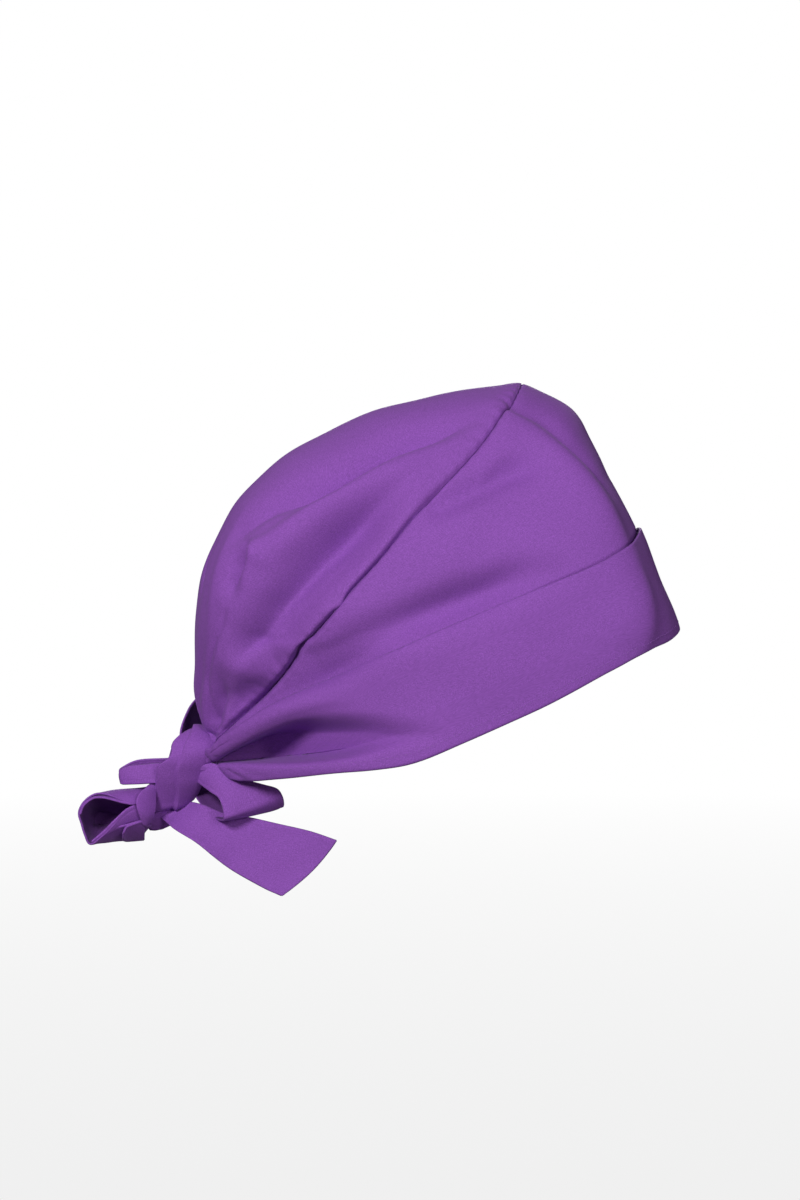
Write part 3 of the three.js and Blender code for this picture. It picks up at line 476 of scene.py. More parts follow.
def crown_room(along):
    """How much room the crown panel has for its folds: its ribs get short near the knot."""
    back_x, back_z = outline_place(mix(CROWN_BACK_ANGLE, SEAM_LINE[0], along))
    seam_x, seam_z = seam_string(1 - along)
    rib = np.sqrt((seam_x - back_x) ** 2 + cloth_width(seam_x, seam_z) ** 2 + (seam_z - back_z) ** 2)
    return np.minimum(1, rib / FULL_RIB)


def keep_apart(place, side):
    """Keeps deep folds of one side out of the other side."""
    x, y, z = place[..., 0], place[..., 1] * side, place[..., 2]
    deep = (x < APART_BEHIND) & (y < APART)
    y = np.where(deep, APART * np.exp(np.minimum(y, APART) / APART - 1), y)
    return np.stack([x, y * side, z], axis=-1)


def side_panel_place(rounds, ups):
    """The side panel's outer face: rounds from -1, the right end, to 1, and ups from rim to seam."""
    r, u = np.meshgrid(rounds, ups, indexing="ij")
    side, share = np.where(r < 0, -1.0, 1.0), np.abs(r)
    low = u < CUFF_SHARE
    t = np.where(low, u / CUFF_SHARE, (u - CUFF_SHARE) / (1 - CUFF_SHARE))
    rows = [string(share) for string in STRINGS]
    starts = [outline_place(line[0]) for line in LINES]

    def between(rim, cuff, seam):
        return np.where(low, mix(rim, cuff, t), mix(cuff, seam, t))

    x, z = (between(*(row[k] for row in rows)) for k in (0, 1))
    rule_x, rule_z = (between(*(start[k] for start in starts)) for k in (0, 1))
    front_x, front_z = outline_place(between(*(line[0] for line in LINES)))
    fade = np.where(share < FRONT_FADE, (1 - np.minimum(share / FRONT_FADE, 1) ** 2) ** 2, 0)
    x, z = x + (front_x - rule_x) * fade, z + (front_z - rule_z) * fade
    place = on_form(x, z, side)
    place[share == 0, 1] = 0
    normal = form_normal(place)
    from_seam = np.linalg.norm(place - on_form(*rows[2], side), axis=-1)
    from_knot = 1 - share
    groove = groove_depth_at(from_knot) * crown_room(from_knot)
    groove = groove * np.exp(-((from_seam / groove_width_at(from_knot)) ** 2))
    relief = puckers(from_knot, from_seam, side) + wrinkles(place) * smoothstep(share, 0, 0.1) - groove
    moved = place + fold_shift(place, normal) + normal * relief[..., None]
    moved[..., 1] -= side * pocket(place, side)
    return keep_apart(moved, side)


def crown_place(acrosses, alongs):
    """The crown panel's outer face: across from -1, the right seam, to 1, along from knot to top."""
    across, along = np.meshgrid(acrosses, alongs, indexing="ij")
    side, share = np.where(across < 0, -1.0, 1.0), np.abs(across)
    back_x, back_z = outline_place(mix(CROWN_BACK_ANGLE, SEAM_LINE[0], along))
    seam_x, seam_z = seam_string(1 - along)
    t = 1 - np.cos(share * np.pi / 2)
    x, z = mix(back_x, seam_x, t), mix(back_z, seam_z, t)
    y = side * mix(half_width(x, z), cloth_width(x, z), np.sin(share * np.pi / 2))
    y[share == 0] = 0
    place = np.stack([x, y, z], axis=-1)
    normal = form_normal(place)
    away = place - on_form(seam_x, seam_z, side)
    from_seam = np.linalg.norm(away, axis=-1)
    room = crown_room(along)
    roll = roll_out_at(along) * rise_and_fade(from_seam, ROLL_PEAK) * room
    edge = (groove_depth_at(along) - CROWN_EDGE_UP) * room
    edge = edge * np.exp(-((from_seam / crown_groove_at(along)) ** 2))
    gathers = (GATHERS["height"] * (1 - smoothstep(along, 0.05, GATHERS["until"])) * room
               * np.cos(across * np.pi * GATHERS["count"]) * (1 - share**4))
    jog = JOG_SIZE * np.exp(-(((along - JOG_SHARE) / JOG_WIDTH) ** 2))
    over = (roll_over_at(along) + jog) * rise_and_fade(from_seam, ROLL_OVER_PEAK) * room
    clear = SEAM_GAP * np.exp(-from_seam)
    relief = puckers(along, from_seam, -side) * room + wrinkles(place) + roll - edge + gathers
    shift = fold_shift(place, normal) + unit(away) * (clear - over)[..., None]
    return place + shift + normal * relief[..., None]


# %% [markdown]
# ## From a grid of places to cloth
#
# A panel is a wall, not a skin: its outer face is the grid, its inner face the same grid moved in
# along the normals, and a rounded strip closes each edge, as the folded edge of real cloth does.
# The wall gets a UV map in metres, so the weave keeps its size and follows the cloth.

# %% Cloth from a grid
def grid_normals(rows, closed=False):
    along = np.roll(rows, -1, 0) - np.roll(rows, 1, 0) if closed else np.gradient(rows, axis=0)
    return unit(np.cross(along, np.gradient(rows, axis=1)))


def arc_lengths(rows, axis):
    steps = np.linalg.norm(np.diff(rows, axis=axis), axis=-1)
    start = np.zeros_like(np.take(steps, [0], axis=axis))
    return np.concatenate([start, np.cumsum(steps, axis=axis)], axis=axis)


def cloth_wall(name, outer, inner, closed=False, inside=(0, 0)):
    """A closed mesh between two grids of places in mm, with rounded edges. Outer faces out.

    inside gives, from 0 to 1, how much painted shade darkens the colour of the outer and of the inner face,
    as for cloth in the shade inside a loop.
    """
    n, m = outer.shape[:2]
    thickness = np.linalg.norm(outer - inner, axis=-1, keepdims=True)
    middle = (outer + inner) / 2

    def rounded(edge, beside, thick):
        return edge + unit(edge - beside) * thick / 2

    points = [outer.reshape(-1, 3), inner.reshape(-1, 3),
              rounded(middle[:, 0], middle[:, 1], thickness[:, 0]),
              rounded(middle[:, -1], middle[:, -2], thickness[:, -1])]
    if not closed:
        points += [rounded(middle[0], middle[1], thickness[0]),
                   rounded(middle[-1], middle[-2], thickness[-1])]
    verts = np.concatenate(points)
    grid_id = np.arange(n * m).reshape(n, m)
    a, b = grid_id, n * m + grid_id
    lo, hi = 2 * n * m + np.arange(n), 2 * n * m + n + np.arange(n)
    if closed:
        a, b, lo, hi = (np.concatenate([ids, ids[:1]]) for ids in (a, b, lo, hi))
    quads = []

    def add(p, q, r, s):
        quads.append(np.stack([p, q, r, s], axis=-1).reshape(-1, 4))

    add(a[:-1, :-1], a[1:, :-1], a[1:, 1:], a[:-1, 1:])
    add(b[:-1, :-1], b[:-1, 1:], b[1:, 1:], b[1:, :-1])
    add(a[:-1, 0], lo[:-1], lo[1:], a[1:, 0])
    add(lo[:-1], b[:-1, 0], b[1:, 0], lo[1:])
    add(a[1:, -1], hi[1:], hi[:-1], a[:-1, -1])
    add(hi[1:], b[1:, -1], b[:-1, -1], hi[:-1])
    if not closed:
        first = 2 * n * m + 2 * n + np.arange(m)
        last = first + m
        add(a[0, 1:], first[1:], first[:-1], a[0, :-1])
        add(first[1:], b[0, 1:], b[0, :-1], first[:-1])
        add(a[-1, :-1], last[:-1], last[1:], a[-1, 1:])
        add(last[:-1], b[-1, :-1], b[-1, 1:], last[1:])
        for corner in ((a[0, 0], first[0], b[0, 0], lo[0]), (a[0, -1], hi[0], b[0, -1], first[-1]),
                       (a[-1, 0], lo[-1], b[-1, 0], last[0]), (a[-1, -1], last[-1], b[-1, -1], hi[-1])):
            quads.append(np.array([corner]))
    faces = np.concatenate(quads)
    mesh = bpy.data.meshes.new(name)
    mesh.from_pydata((verts * MM).tolist(), [], faces.tolist())

    def for_all_verts(grid):
        edges = [grid[:, 0], grid[:, -1]] + ([] if closed else [grid[0], grid[-1]])
        return np.concatenate([grid.ravel(), grid.ravel(), *edges])

    uv = np.stack([for_all_verts(arc_lengths(outer, axis)) for axis in (0, 1)], axis=-1)
    index = np.zeros(len(mesh.loops), np.int32)
    mesh.loops.foreach_get("vertex_index", index)
    layer = mesh.uv_layers.new(name="cloth")
    layer.data.foreach_set("uv", uv[index].astype(np.float32).ravel() * MM)
    mesh.polygons.foreach_set("use_smooth", np.ones(len(mesh.polygons), bool))
    # painted shade: the inside attribute, set here, darkens the cloth's colour in the material
    painted_shade_marks = np.zeros(len(mesh.vertices), np.float32)
    painted_shade_marks[:n * m], painted_shade_marks[n * m:2 * n * m] = inside
    mesh.attributes.new("inside", "FLOAT", "POINT").data.foreach_set("value", painted_shade_marks)
    mesh.update()
    mesh.validate()
    print(f"{name}: {2 * len(faces)} triangles")
    return add_object(name, mesh)


def flat_area(piece):
    return sum(p.area for p in piece.data.polygons) / 2


# %% [markdown]
# ## The weave
#
# Poplin is a plain weave: each thread goes over one and under the next, between two and three to a
# millimetre. From arm's length it reads as a fine, even grain with a few thicker threads. The weave
# is one node group, shared by all the cloth, and a second group gives the slight cloudiness of dyed
# cotton. Both read the UV map, so they follow the cloth round every fold. The insides of the loops
# and one face of the far strap are marked on the mesh and painted darker, because they lie in
# deeper shade than the soft lights of this scene leave there.

# %% Node helpers
class Nodes:
    """Adds nodes to a tree. An input, by name or number, is a value, a socket or a whole node."""

    def __init__(self, tree):
        self.tree = tree

    def __call__(self, kind, inputs=None, **settings):
        node = self.tree.nodes.new(kind)
        for key, value in settings.items():
            setattr(node, key, value)
        for key, value in (inputs or {}).items():
            if isinstance(value, bpy.types.Node):
                value = value.outputs[0]
            if isinstance(value, bpy.types.NodeSocket):
                self.tree.links.new(value, node.inputs[key])
            else:
                node.inputs[key].default_value = value
        return node

    def math(self, operation, a, b=0.0):
        return self("ShaderNodeMath", {0: a, 1: b}, operation=operation)

    def plus(self, a, b):
        return self.math("ADD", a, b)

    def minus(self, a, b):
        return self.math("SUBTRACT", a, b)

    def times(self, a, b):
        return self.math("MULTIPLY", a, b)

    def noise(self, where, scale, detail):
        return self("ShaderNodeTexNoise", {"Vector": where, "Scale": scale, "Detail": detail})


def start_group(name, kind, inputs, outputs):
    """A node group and its sockets, each given as a kind or as the number it starts from."""
    group = bpy.data.node_groups.new(name, kind)
    for direction, sockets in (("INPUT", inputs), ("OUTPUT", outputs)):
        for title, given in sockets.items():
            socket_kind = {float: "Float", int: "Int"}.get(type(given), given)
            socket = group.interface.new_socket(
                name=title, in_out=direction, socket_type=f"NodeSocket{socket_kind}")
            if given != socket_kind:
                socket.default_value = given
    make = Nodes(group)
    return group, make, make("NodeGroupInput").outputs


def empty_material(name):
    material = bpy.data.materials.new(name)
    material.use_nodes = True
    material.node_tree.nodes.clear()
    return material, Nodes(material.node_tree)


# %% The weave group
THREAD_DRIFT_SCALE, THREAD_DRIFT = 420.0, 1.6
SLUB_ALONG, SLUB_ACROSS = 330.0, 2100.0
CLOUD_SCALE, GRAIN_SCALE = 26.0, 1700.0


def weave_group():
    group, make, source = start_group(
        "plain_weave", "ShaderNodeTree",
        {"Cloth": "Vector", "Threads per mm": 2.6, "Slubs": 0.5}, {"Height": "Float", "Thread tone": "Float"})
    cloth = source["Cloth"]
    split = make("ShaderNodeSeparateXYZ", {0: cloth})
    turns = make.times(source["Threads per mm"], math.pi * 1000)
    waves = []
    for axis in (0, 1):
        drift = make.times(make.noise(cloth, THREAD_DRIFT_SCALE, 2.0), THREAD_DRIFT)
        waves.append(make.math("SINE", make.plus(make.times(split.outputs[axis], turns), drift)))
    crossing = make.times(*waves)
    streaks = []
    for scale in ((SLUB_ALONG, SLUB_ACROSS, 1.0), (SLUB_ACROSS, SLUB_ALONG, 1.0)):
        stretched = make("ShaderNodeMapping", {"Vector": cloth, "Scale": scale})
        streaks.append(make.noise(stretched, 1.0, 2.0))
    slub = make.times(make.minus(make.plus(*streaks), 1.0), source["Slubs"])
    height = make.plus(make.times(crossing, 0.5), make.times(slub, 1.2))
    tone = make.plus(1.0, make.plus(make.times(slub, 0.8), make.times(crossing, 0.05)))
    make("NodeGroupOutput", {"Height": height, "Thread tone": tone})
    return group


def dye_group():
    group, make, source = start_group(
        "dyed_cotton", "ShaderNodeTree",
        {"Cloth": "Vector", "Cloudiness": 0.06, "Grain": 0.75}, {"Tone": "Float"})
    broad = make.minus(make.noise(source["Cloth"], CLOUD_SCALE, 3.0), 0.5)
    fine = make.minus(make.noise(source["Cloth"], GRAIN_SCALE, 1.0), 0.5)
    change = make.plus(make.times(broad, source["Cloudiness"]), make.times(fine, source["Grain"]))
    make("NodeGroupOutput", {"Tone": make.plus(1.0, change)})
    return group


WEAVE, DYE = weave_group(), dye_group()
print("node groups:", WEAVE.name, DYE.name)

# %% Cloth materials
PURPLE = (0.243, 0.076, 0.40, 1.0)
THREAD_PURPLE = (0.27, 0.10, 0.42, 1.0)
SHEEN_TINT = (0.86, 0.70, 1.0, 1.0)
# painted shade: how much darker the cloth's colour is made where the inside attribute is 1
PAINTED_SHADE_DARKER = 0.5
BUMP_HEIGHT = 0.00008


def cloth_material(name, colour, threads=2.6, slubs=0.5, cloudiness=0.06, bump=0.35, roughness=0.82):
    material, make = empty_material(name)
    where = make("ShaderNodeUVMap", uv_map="cloth")
    weave = make("ShaderNodeGroup", node_tree=WEAVE, inputs={
        "Cloth": where, "Threads per mm": threads, "Slubs": slubs})
    dye = make("ShaderNodeGroup", node_tree=DYE, inputs={"Cloth": where, "Cloudiness": cloudiness})
    # painted shade: the inside attribute darkens the colour of the cloth in the loops' insides and on one
    # face of the far strap
    inside = make("ShaderNodeAttribute", attribute_name="inside")
    shade = make.minus(1.0, make.times(inside.outputs["Fac"], PAINTED_SHADE_DARKER))
    tone = make.times(make.times(weave.outputs["Thread tone"], dye), shade)
    tinted = make("ShaderNodeVectorMath", {0: colour[:3], "Scale": tone}, operation="SCALE")
    relief = make("ShaderNodeBump", {
        "Strength": bump, "Distance": BUMP_HEIGHT, "Height": weave.outputs["Height"]})
    surface = make("ShaderNodeBsdfPrincipled", {
        "Base Color": tinted, "Roughness": roughness, "Normal": relief, "Specular IOR Level": 0.22,
        "Sheen Weight": 0.10, "Sheen Roughness": 0.4, "Sheen Tint": SHEEN_TINT})
    make("ShaderNodeOutputMaterial", {"Surface": surface})
    return material


panel_cloth = cloth_material("purple_poplin", PURPLE)
tie_cloth = cloth_material("purple_poplin_tie", PURPLE, slubs=0.4, bump=0.4)
thread_cotton = cloth_material("purple_sewing_thread", THREAD_PURPLE, threads=1.2, slubs=0.2,
                               cloudiness=0.03, bump=0.2, roughness=0.7)


def finish_piece(piece, material, *nodes):
    piece.data.materials.clear()
    piece.data.materials.append(material)
    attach(piece, "root")
    if nodes:
        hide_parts(*nodes)
    return piece


# %% [markdown]
# ## The two panels
#
# The side panel's lower third is hidden behind the cuff and only shows inside, so its rows are
# wider there, and it lies a little deeper, so that it never comes through the cuff. A shallow slit
# where it comes out of the cuff gives the thin shadow along the cuff's edge.

# %% The two panels
CLOTH = 0.7  # its thickness, in mm


def crowded(count, strength):
    """Steps from -1 to 1, closer together at both ends."""
    s = np.linspace(-1, 1, count + 1)
    return s * (1 - strength) + strength * np.sin(s * np.pi / 2)


PANEL_ROUNDS = crowded(300, 0.35)
# how much deeper it lies behind the cuff and at the cuff's edge, in mm, and that slit's share of the way up
HIDDEN_DEPTH, EDGE_SLIT, SLIT_WIDTH = 0.8, 0.95, 0.008
HIDDEN_SHARE = CUFF_SHARE - 0.03
HIDDEN_ROWS, SEEN_ROWS, ROW_CROWDING = 32, 125, 1.25
PANEL_UPS = np.r_[np.linspace(0, HIDDEN_SHARE, HIDDEN_ROWS)[:-1],
                  1 - (1 - HIDDEN_SHARE) * np.linspace(1, 0, SEEN_ROWS) ** ROW_CROWDING]
panel_rows = side_panel_place(PANEL_ROUNDS, PANEL_UPS)
panel_normals = grid_normals(panel_rows)
behind_cuff = (smoothstep(PANEL_UPS, 0, 0.05)
               * (1 - smoothstep(PANEL_UPS, CUFF_SHARE - 0.08, CUFF_SHARE - 0.02)))
edge_slit = EDGE_SLIT * np.exp(-(((PANEL_UPS - CUFF_SHARE) / SLIT_WIDTH) ** 2))
panel_rows = panel_rows - panel_normals * (HIDDEN_DEPTH * behind_cuff + edge_slit)[None, :, None]
side_panel = cloth_wall("side_panel_cloth", panel_rows, panel_rows - panel_normals * CLOTH)
finish_piece(side_panel, panel_cloth, "side_panel")

CROWN_ACROSS = crowded(190, 0.75)
CROWN_ALONG = np.linspace(0.004, 0.998, 210)
crown_rows = crown_place(CROWN_ACROSS, CROWN_ALONG)
crown_normals = grid_normals(crown_rows)
crown_panel = cloth_wall("crown_panel_cloth", crown_rows, crown_rows - crown_normals * CLOTH)
finish_piece(crown_panel, panel_cloth, "crown_panel")
print("areas in square metres:", round(flat_area(side_panel), 4), round(flat_area(crown_panel), 4))

# %% [markdown]
# ## The cuff
#
# The cuff is the panel's own cloth turned up, so it follows every fold of the panel under it. It is
# laid over the panel's grid at a small distance, with its top edge standing off by a millimetre at
# the forehead and by two near the knot, goes round under the rim and ends in a short leg inside.

# %% The cuff
CUFF_CLOTH, CUFF_GAP = 1.1, 0.15
# how far the top edge stands off, in mm, and the share of the way up at which it starts to
LIP_FRONT, LIP_SIDE, LIP_KNOT, LIP_FROM = 1.0, 0.45, 1.6, 0.16
CUFF_UPS = np.linspace(0, CUFF_SHARE, 58)
TUCK_UPS = np.linspace(0.05, 0, 9)
TURN_STEPS = 9
cuff_rows = side_panel_place(PANEL_ROUNDS, CUFF_UPS)
cuff_normals = grid_normals(cuff_rows)
tuck_rows = side_panel_place(PANEL_ROUNDS, TUCK_UPS)
tuck_normals = -grid_normals(tuck_rows)
share = np.abs(PANEL_ROUNDS)[:, None]
lip = mix(LIP_FRONT, LIP_SIDE, smoothstep(share, 0.05, 0.4)) + LIP_KNOT * smoothstep(share, 0.68, 0.82)
lip = lip * smoothstep(CUFF_UPS[None, :], LIP_FROM, CUFF_SHARE)
inner_leg = tuck_rows - tuck_normals * (CLOTH + CUFF_GAP)
outer_leg = cuff_rows + cuff_normals * (CUFF_GAP + lip)[..., None]
down = unit(cuff_rows[:, 0] - cuff_rows[:, 2])
bottom_middle = cuff_rows[:, 0] - cuff_normals[:, 0] * CLOTH / 2
turn_near, turn_far = [], []
for angle in np.linspace(-math.pi / 2, math.pi / 2, TURN_STEPS)[1:-1]:
    sideways = cuff_normals[:, 0] * math.sin(angle) + down * math.cos(angle)
    turn_near.append(bottom_middle + sideways * (CLOTH / 2 + CUFF_GAP))
    turn_far.append(bottom_middle + sideways * (CLOTH / 2 + CUFF_GAP + CUFF_CLOTH))
near = np.concatenate([inner_leg, np.stack(turn_near, 1), outer_leg], axis=1)
far = np.concatenate([inner_leg - tuck_normals * CUFF_CLOTH, np.stack(turn_far, 1),
                      outer_leg + cuff_normals * CUFF_CLOTH], axis=1)
cuff = cloth_wall("cuff_cloth", far, near)
finish_piece(cuff, panel_cloth, "cuff")
print("cuff area in square metres:", round(flat_area(cuff), 4))

# %% [markdown]
# ## Stitches
#
# The cuff's turned edge is held by a line of small stitches, which shows as a dotted line on the roll
# below the pocket. A row of stitches is one thread shape repeated at an even pitch, so a Geometry
# Nodes tree makes it: it walks a line drawn on the cloth, drops a flat bead at each step and lays it
# along the line.

# %% The stitch tree
STITCH_PITCH, STITCH_SIZE = 2.3, (1.5, 0.42, 0.3)
STITCH_UNEVENNESS, STITCH_SEED = 0.15, 4


def stitch_tree():
    tree, make, source = start_group(
        "row_of_stitches", "GeometryNodeTree",
        {"Line": "Geometry", "Pitch": STITCH_PITCH * MM, "Size": "Vector", "Unevenness": STITCH_UNEVENNESS,
         "Seed": STITCH_SEED, "Thread": "Material"},
        {"Stitches": "Geometry"})
    facing = make("GeometryNodeInputNamedAttribute", {"Name": "facing"}, data_type="FLOAT_VECTOR")
    curve = make("GeometryNodeMeshToCurve", {0: source["Line"]})
    even = make("GeometryNodeResampleCurve", {"Curve": curve, "Length": source["Pitch"]}, mode="LENGTH")
    bead = make("GeometryNodeMeshUVSphere", {"Segments": 8, "Rings": 5, "Radius": 0.5})
    tangent = make("GeometryNodeInputTangent")
    lie = make("FunctionNodeAlignRotationToVector", {"Vector": tangent}, axis="X")
    up = make("FunctionNodeAlignRotationToVector", {"Rotation": lie, "Vector": facing},
              axis="Z", pivot_axis="X")
    low, high = make.minus(1.0, source["Unevenness"]), make.plus(1.0, source["Unevenness"])
    uneven = make("FunctionNodeRandomValue", {2: low, 3: high, "Seed": source["Seed"]}, data_type="FLOAT")
    size = make("ShaderNodeVectorMath", {0: source["Size"], "Scale": uneven.outputs[1]}, operation="SCALE")
    beads = make("GeometryNodeInstanceOnPoints", {
        "Points": even, "Instance": bead, "Rotation": up, "Scale": size})
    plain = make("GeometryNodeRealizeInstances", {0: beads})
    painted = make("GeometryNodeSetMaterial", {"Geometry": plain, "Material": source["Thread"]})
    make("NodeGroupOutput", {"Stitches": painted})
    return tree


STITCHES = stitch_tree()


def stitch_row(name, places, facing):
    """A row of stitches along places, in mm, each lying on cloth that faces the given way."""
    line = bpy.data.meshes.new(name + "_line")
    line.from_pydata((places * MM).tolist(), [(i, i + 1) for i in range(len(places) - 1)], [])
    arrows = line.attributes.new("facing", "FLOAT_VECTOR", "POINT")
    arrows.data.foreach_set("vector", facing.astype(np.float32).ravel())
    holder = add_object(name + "_line", line)
    modifier = holder.modifiers.new("stitches", "NODES")
    values = {"Pitch": STITCH_PITCH * MM, "Size": [v * MM for v in STITCH_SIZE],
              "Unevenness": STITCH_UNEVENNESS, "Seed": STITCH_SEED, "Thread": thread_cotton}
    modifier.node_group = STITCHES
    for item in STITCHES.interface.items_tree:
        if item.name in values:
            modifier[item.identifier] = values[item.name]
    mesh = bpy.data.meshes.new_from_object(holder.evaluated_get(bpy.context.evaluated_depsgraph_get()))
    holder.modifiers.remove(modifier)
    bpy.data.objects.remove(holder)
    mesh.name = name
    mesh.uv_layers.new(name="cloth")
    mesh.polygons.foreach_set("use_smooth", np.ones(len(mesh.polygons), bool))
    print(f"{name}: {len(mesh.polygons)} faces")
    return finish_piece(add_object(name, mesh), thread_cotton)


# %% The stitches of the cuff
STITCH_UP = 3.6  # above the fold, in mm
STITCH_CLEAR = 0.02


def cuff_line_places(up_mm):
    """A line on the cuff's face, a fixed distance above its lower fold."""
    face = outer_leg + cuff_normals * CUFF_CLOTH
    lengths = arc_lengths(face, 1)

    def at_that_height(grid):
        return np.array([[np.interp(up_mm, length, row[:, k]) for k in range(3)]
                         for length, row in zip(lengths, grid)])

    return at_that_height(face), unit(at_that_height(cuff_normals))


stitch_places, stitch_facing = cuff_line_places(STITCH_UP)
stitch_row("cuff_stitches", stitch_places + stitch_facing * STITCH_CLEAR, stitch_facing)

# %% [markdown]
# ## The ties and the bow
#
# A tie is a flat strip of doubled cloth, so it is given by its two edges: each station has the
# place of both, and the cloth between them is bowed a little, with the line of its hem just inside
# each edge. One helper makes the knot's band, the loops and the ends from such tables. A station is
# written as it is seen from the side, with its depth, and is then moved along its line of sight to
# that depth, so that the bow keeps its drawing.

# %% The ribbon helper
TIE_CLOTH = 1.1
HEM_INSET, HEM_DEPTH, HEM_WIDTH = 1.7, 0.16, 0.4
NO_HEM, FULL_HEM = 5, 9  # widths of the tie, in mm
FULL_BOW_WIDTH = 12
STEP_SLOPE = 0.02
TIE_WAVES, TIE_WAVE_SIZE = 5, 0.4
FLAT, DEEP = np.array([1, 0, 1]), np.array([0, 1, 0])


def seen(points):
    """Places in mm, from x and z as seen at the middle plane, and the depth y."""
    grow = (points[..., 1:2] - EYE[1]) / -EYE[1]
    return mix(EYE, points, grow) * FLAT + points * DEEP


def ribbon_rows(stations, along=110, across=26, bow=((0, 0.8), (1, 0.8)), closed=False, ripple=0.3,
                seed=0, hem=HEM_DEPTH, step=None, end_bow=0.0):
    """The front face of a tie: stations are rows of x, y, z of its first edge and of its second.

    bow is how far the cloth stands out between its edges, as pairs of a share along and a height.
    step is a raised inner edge: its height, and its places as pairs of shares along and across.
    end_bow rounds the cut end outwards.
    """
    table = np.array(stations, float)
    if closed:
        table = np.concatenate([table[-2:], table, table[:3]])
        at = np.linspace(2, len(table) - 3, along + 1)[:-1]
    else:
        at = np.linspace(0, len(table) - 1, along + 1)
    places = np.stack([curve_through(column, at) for column in table.T], -1)
    first, second = seen(places[:, :3]), seen(places[:, 3:])
    s = np.linspace(0, 1, across + 1)
    s = 0.5 * s + 0.25 * (1 - np.cos(np.pi * s))
    rows = first[:, None] + (second - first)[:, None] * s[None, :, None]
    share = np.linspace(0, 1, len(rows))[:, None]
    middle = 4 * s * (1 - s)
    if end_bow:
        outward = unit(np.gradient(rows.mean(1), axis=0))[:, None]
        rows = rows + outward * (end_bow * smoothstep(share, 0.7, 1) * middle)[..., None]
    normal = grid_normals(rows, closed)
    width = np.linalg.norm(second - first, axis=-1)[:, None]
    lift = smooth(*np.array(bow, float).T)(share) * np.minimum(1, width / FULL_BOW_WIDTH) * middle
    for inside in (s * width, (1 - s) * width):
        dip = np.exp(-(((inside - HEM_INSET) / HEM_WIDTH) ** 2))
        lift = lift - hem * dip * smoothstep(width, NO_HEM, FULL_HEM)
    if step:
        height, line = step
        where = smooth(*np.array(line).T)(share)
        lift = lift + height * smoothstep(s - where, -STEP_SLOPE, STEP_SLOPE) - height / 2
    random = np.random.default_rng(seed)
    length = arc_lengths(rows, 0)
    for _ in range(TIE_WAVES):
        a, b, phase = random.uniform(0.05, 0.3), random.uniform(-0.3, 0.3), random.uniform(0, 2 * math.pi)
        lift = lift + TIE_WAVE_SIZE * ripple * np.sin(length * a + s * width * b + phase)
    return rows + normal * lift[..., None]


def ribbon(name, stations, *nodes, closed=False, inside=(0, 0), **shape):
    """A piece of tie as a wall of cloth, in the place of the named nodes."""
    rows = ribbon_rows(stations, closed=closed, **shape)
    back = rows - grid_normals(rows, closed) * TIE_CLOTH
    piece = cloth_wall(name, rows, back, closed=closed, inside=inside)
    return finish_piece(piece, tie_cloth, *nodes)


# %% The knot
# x, y and z of the left edge, then of the right edge, from the top of the front down and round
KNOT_BAND = [
    (-132.9, -3, -15.1, -121.8, 3, -15), (-136.6, -8.5, -18.2, -118.6, -4, -20.2),
    (-138.8, -11.5, -22.2, -118.2, -8, -23.2), (-138.9, -13.5, -26.3, -121.2, -10, -26.6),
    (-141.2, -14, -30.2, -122.8, -8.5, -31.6), (-145.2, -13, -34, -123.4, -5.5, -36.1),
    (-146.4, -9.5, -40.5, -123.7, -2, -40.6), (-147, -5, -46.5, -125, 2, -44.4),
    (-147.7, -1, -52, -126.7, 5, -47.2), (-148.2, 1.5, -55.6, -128.4, 6.5, -49.2),
    (-147.8, 4.5, -56.4, -130, 8, -49.6), (-147, 8.5, -53, -131, 10, -48.5), (-145, 11, -42, -127, 12, -41),
    (-141, 12.5, -31, -124, 12.5, -31), (-138, 10, -21, -122, 10, -21), (-133, 3, -15, -121, 6, -14.8),
]
RAISED_EDGE = [(0, 0.34), (0.06, 0.33), (0.2, 0.29), (0.36, 0.42), (0.52, 0.5), (0.62, 0.5), (1, 0.34)]
KNOT_BOW = ((0, 1.4), (0.2, 1.2), (0.35, 1.6), (0.6, 1.8), (0.8, 1.6), (1, 1.4))
knot_band = ribbon("knot_band", KNOT_BAND, "knot_wrap", closed=True, bow=KNOT_BOW, along=180, across=60,
                   ripple=0.15, seed=3, hem=0.0, step=(1.8, RAISED_EDGE))

# %% The loops
LOOP_LEFT = [
    (-150, -2, -50.5, -150, 8, -54), (-157, -12, -51.8, -155, 9, -56),
    (-163.2, -13.8, -50.8, -160, 9.5, -57.2), (-168, -14.2, -49.1, -164.5, 9.5, -57.3),
    (-172.5, -14.4, -48, -168.5, 10, -57), (-177, -14.5, -48, -172, 11, -56.6),
    (-181.4, -14.5, -50.2, -175, 12, -56.2), (-184.6, -14.5, -53.8, -177, 12.5, -57.4),
    (-185.4, -14.4, -57.4, -177.4, 13, -59.5), (-183.9, -14.3, -61.8, -176.5, 13.5, -61.4),
    (-182.1, -14.3, -67.2, -173.5, 13.5, -62), (-179.6, -14.3, -71.6, -170, 13.5, -60.6),
    (-174, -14, -67, -165, 13, -58.4), (-168.6, -13.8, -61.4, -160, 12.5, -57),
    (-163.2, -13, -56.4, -155, 11, -56), (-157, -11, -53.2, -150, 10, -55),
]
LOOP_LEFT_TOP = [
    (-149, 4, -42.8, -148, -1, -50), (-155, 1, -43.6, -157, -12.4, -52),
    (-163, 0, -44.5, -163.2, -14.4, -51), (-170, -1, -45.2, -168.5, -15, -49.2),
    (-176, -3, -46.3, -173.5, -15.2, -48.2), (-180.6, -7, -48.3, -178.5, -15.3, -48.8),
    (-184.2, -11, -52, -183.4, -15.3, -52.6), (-185.8, -13.6, -56.6, -185.3, -15, -57),
]
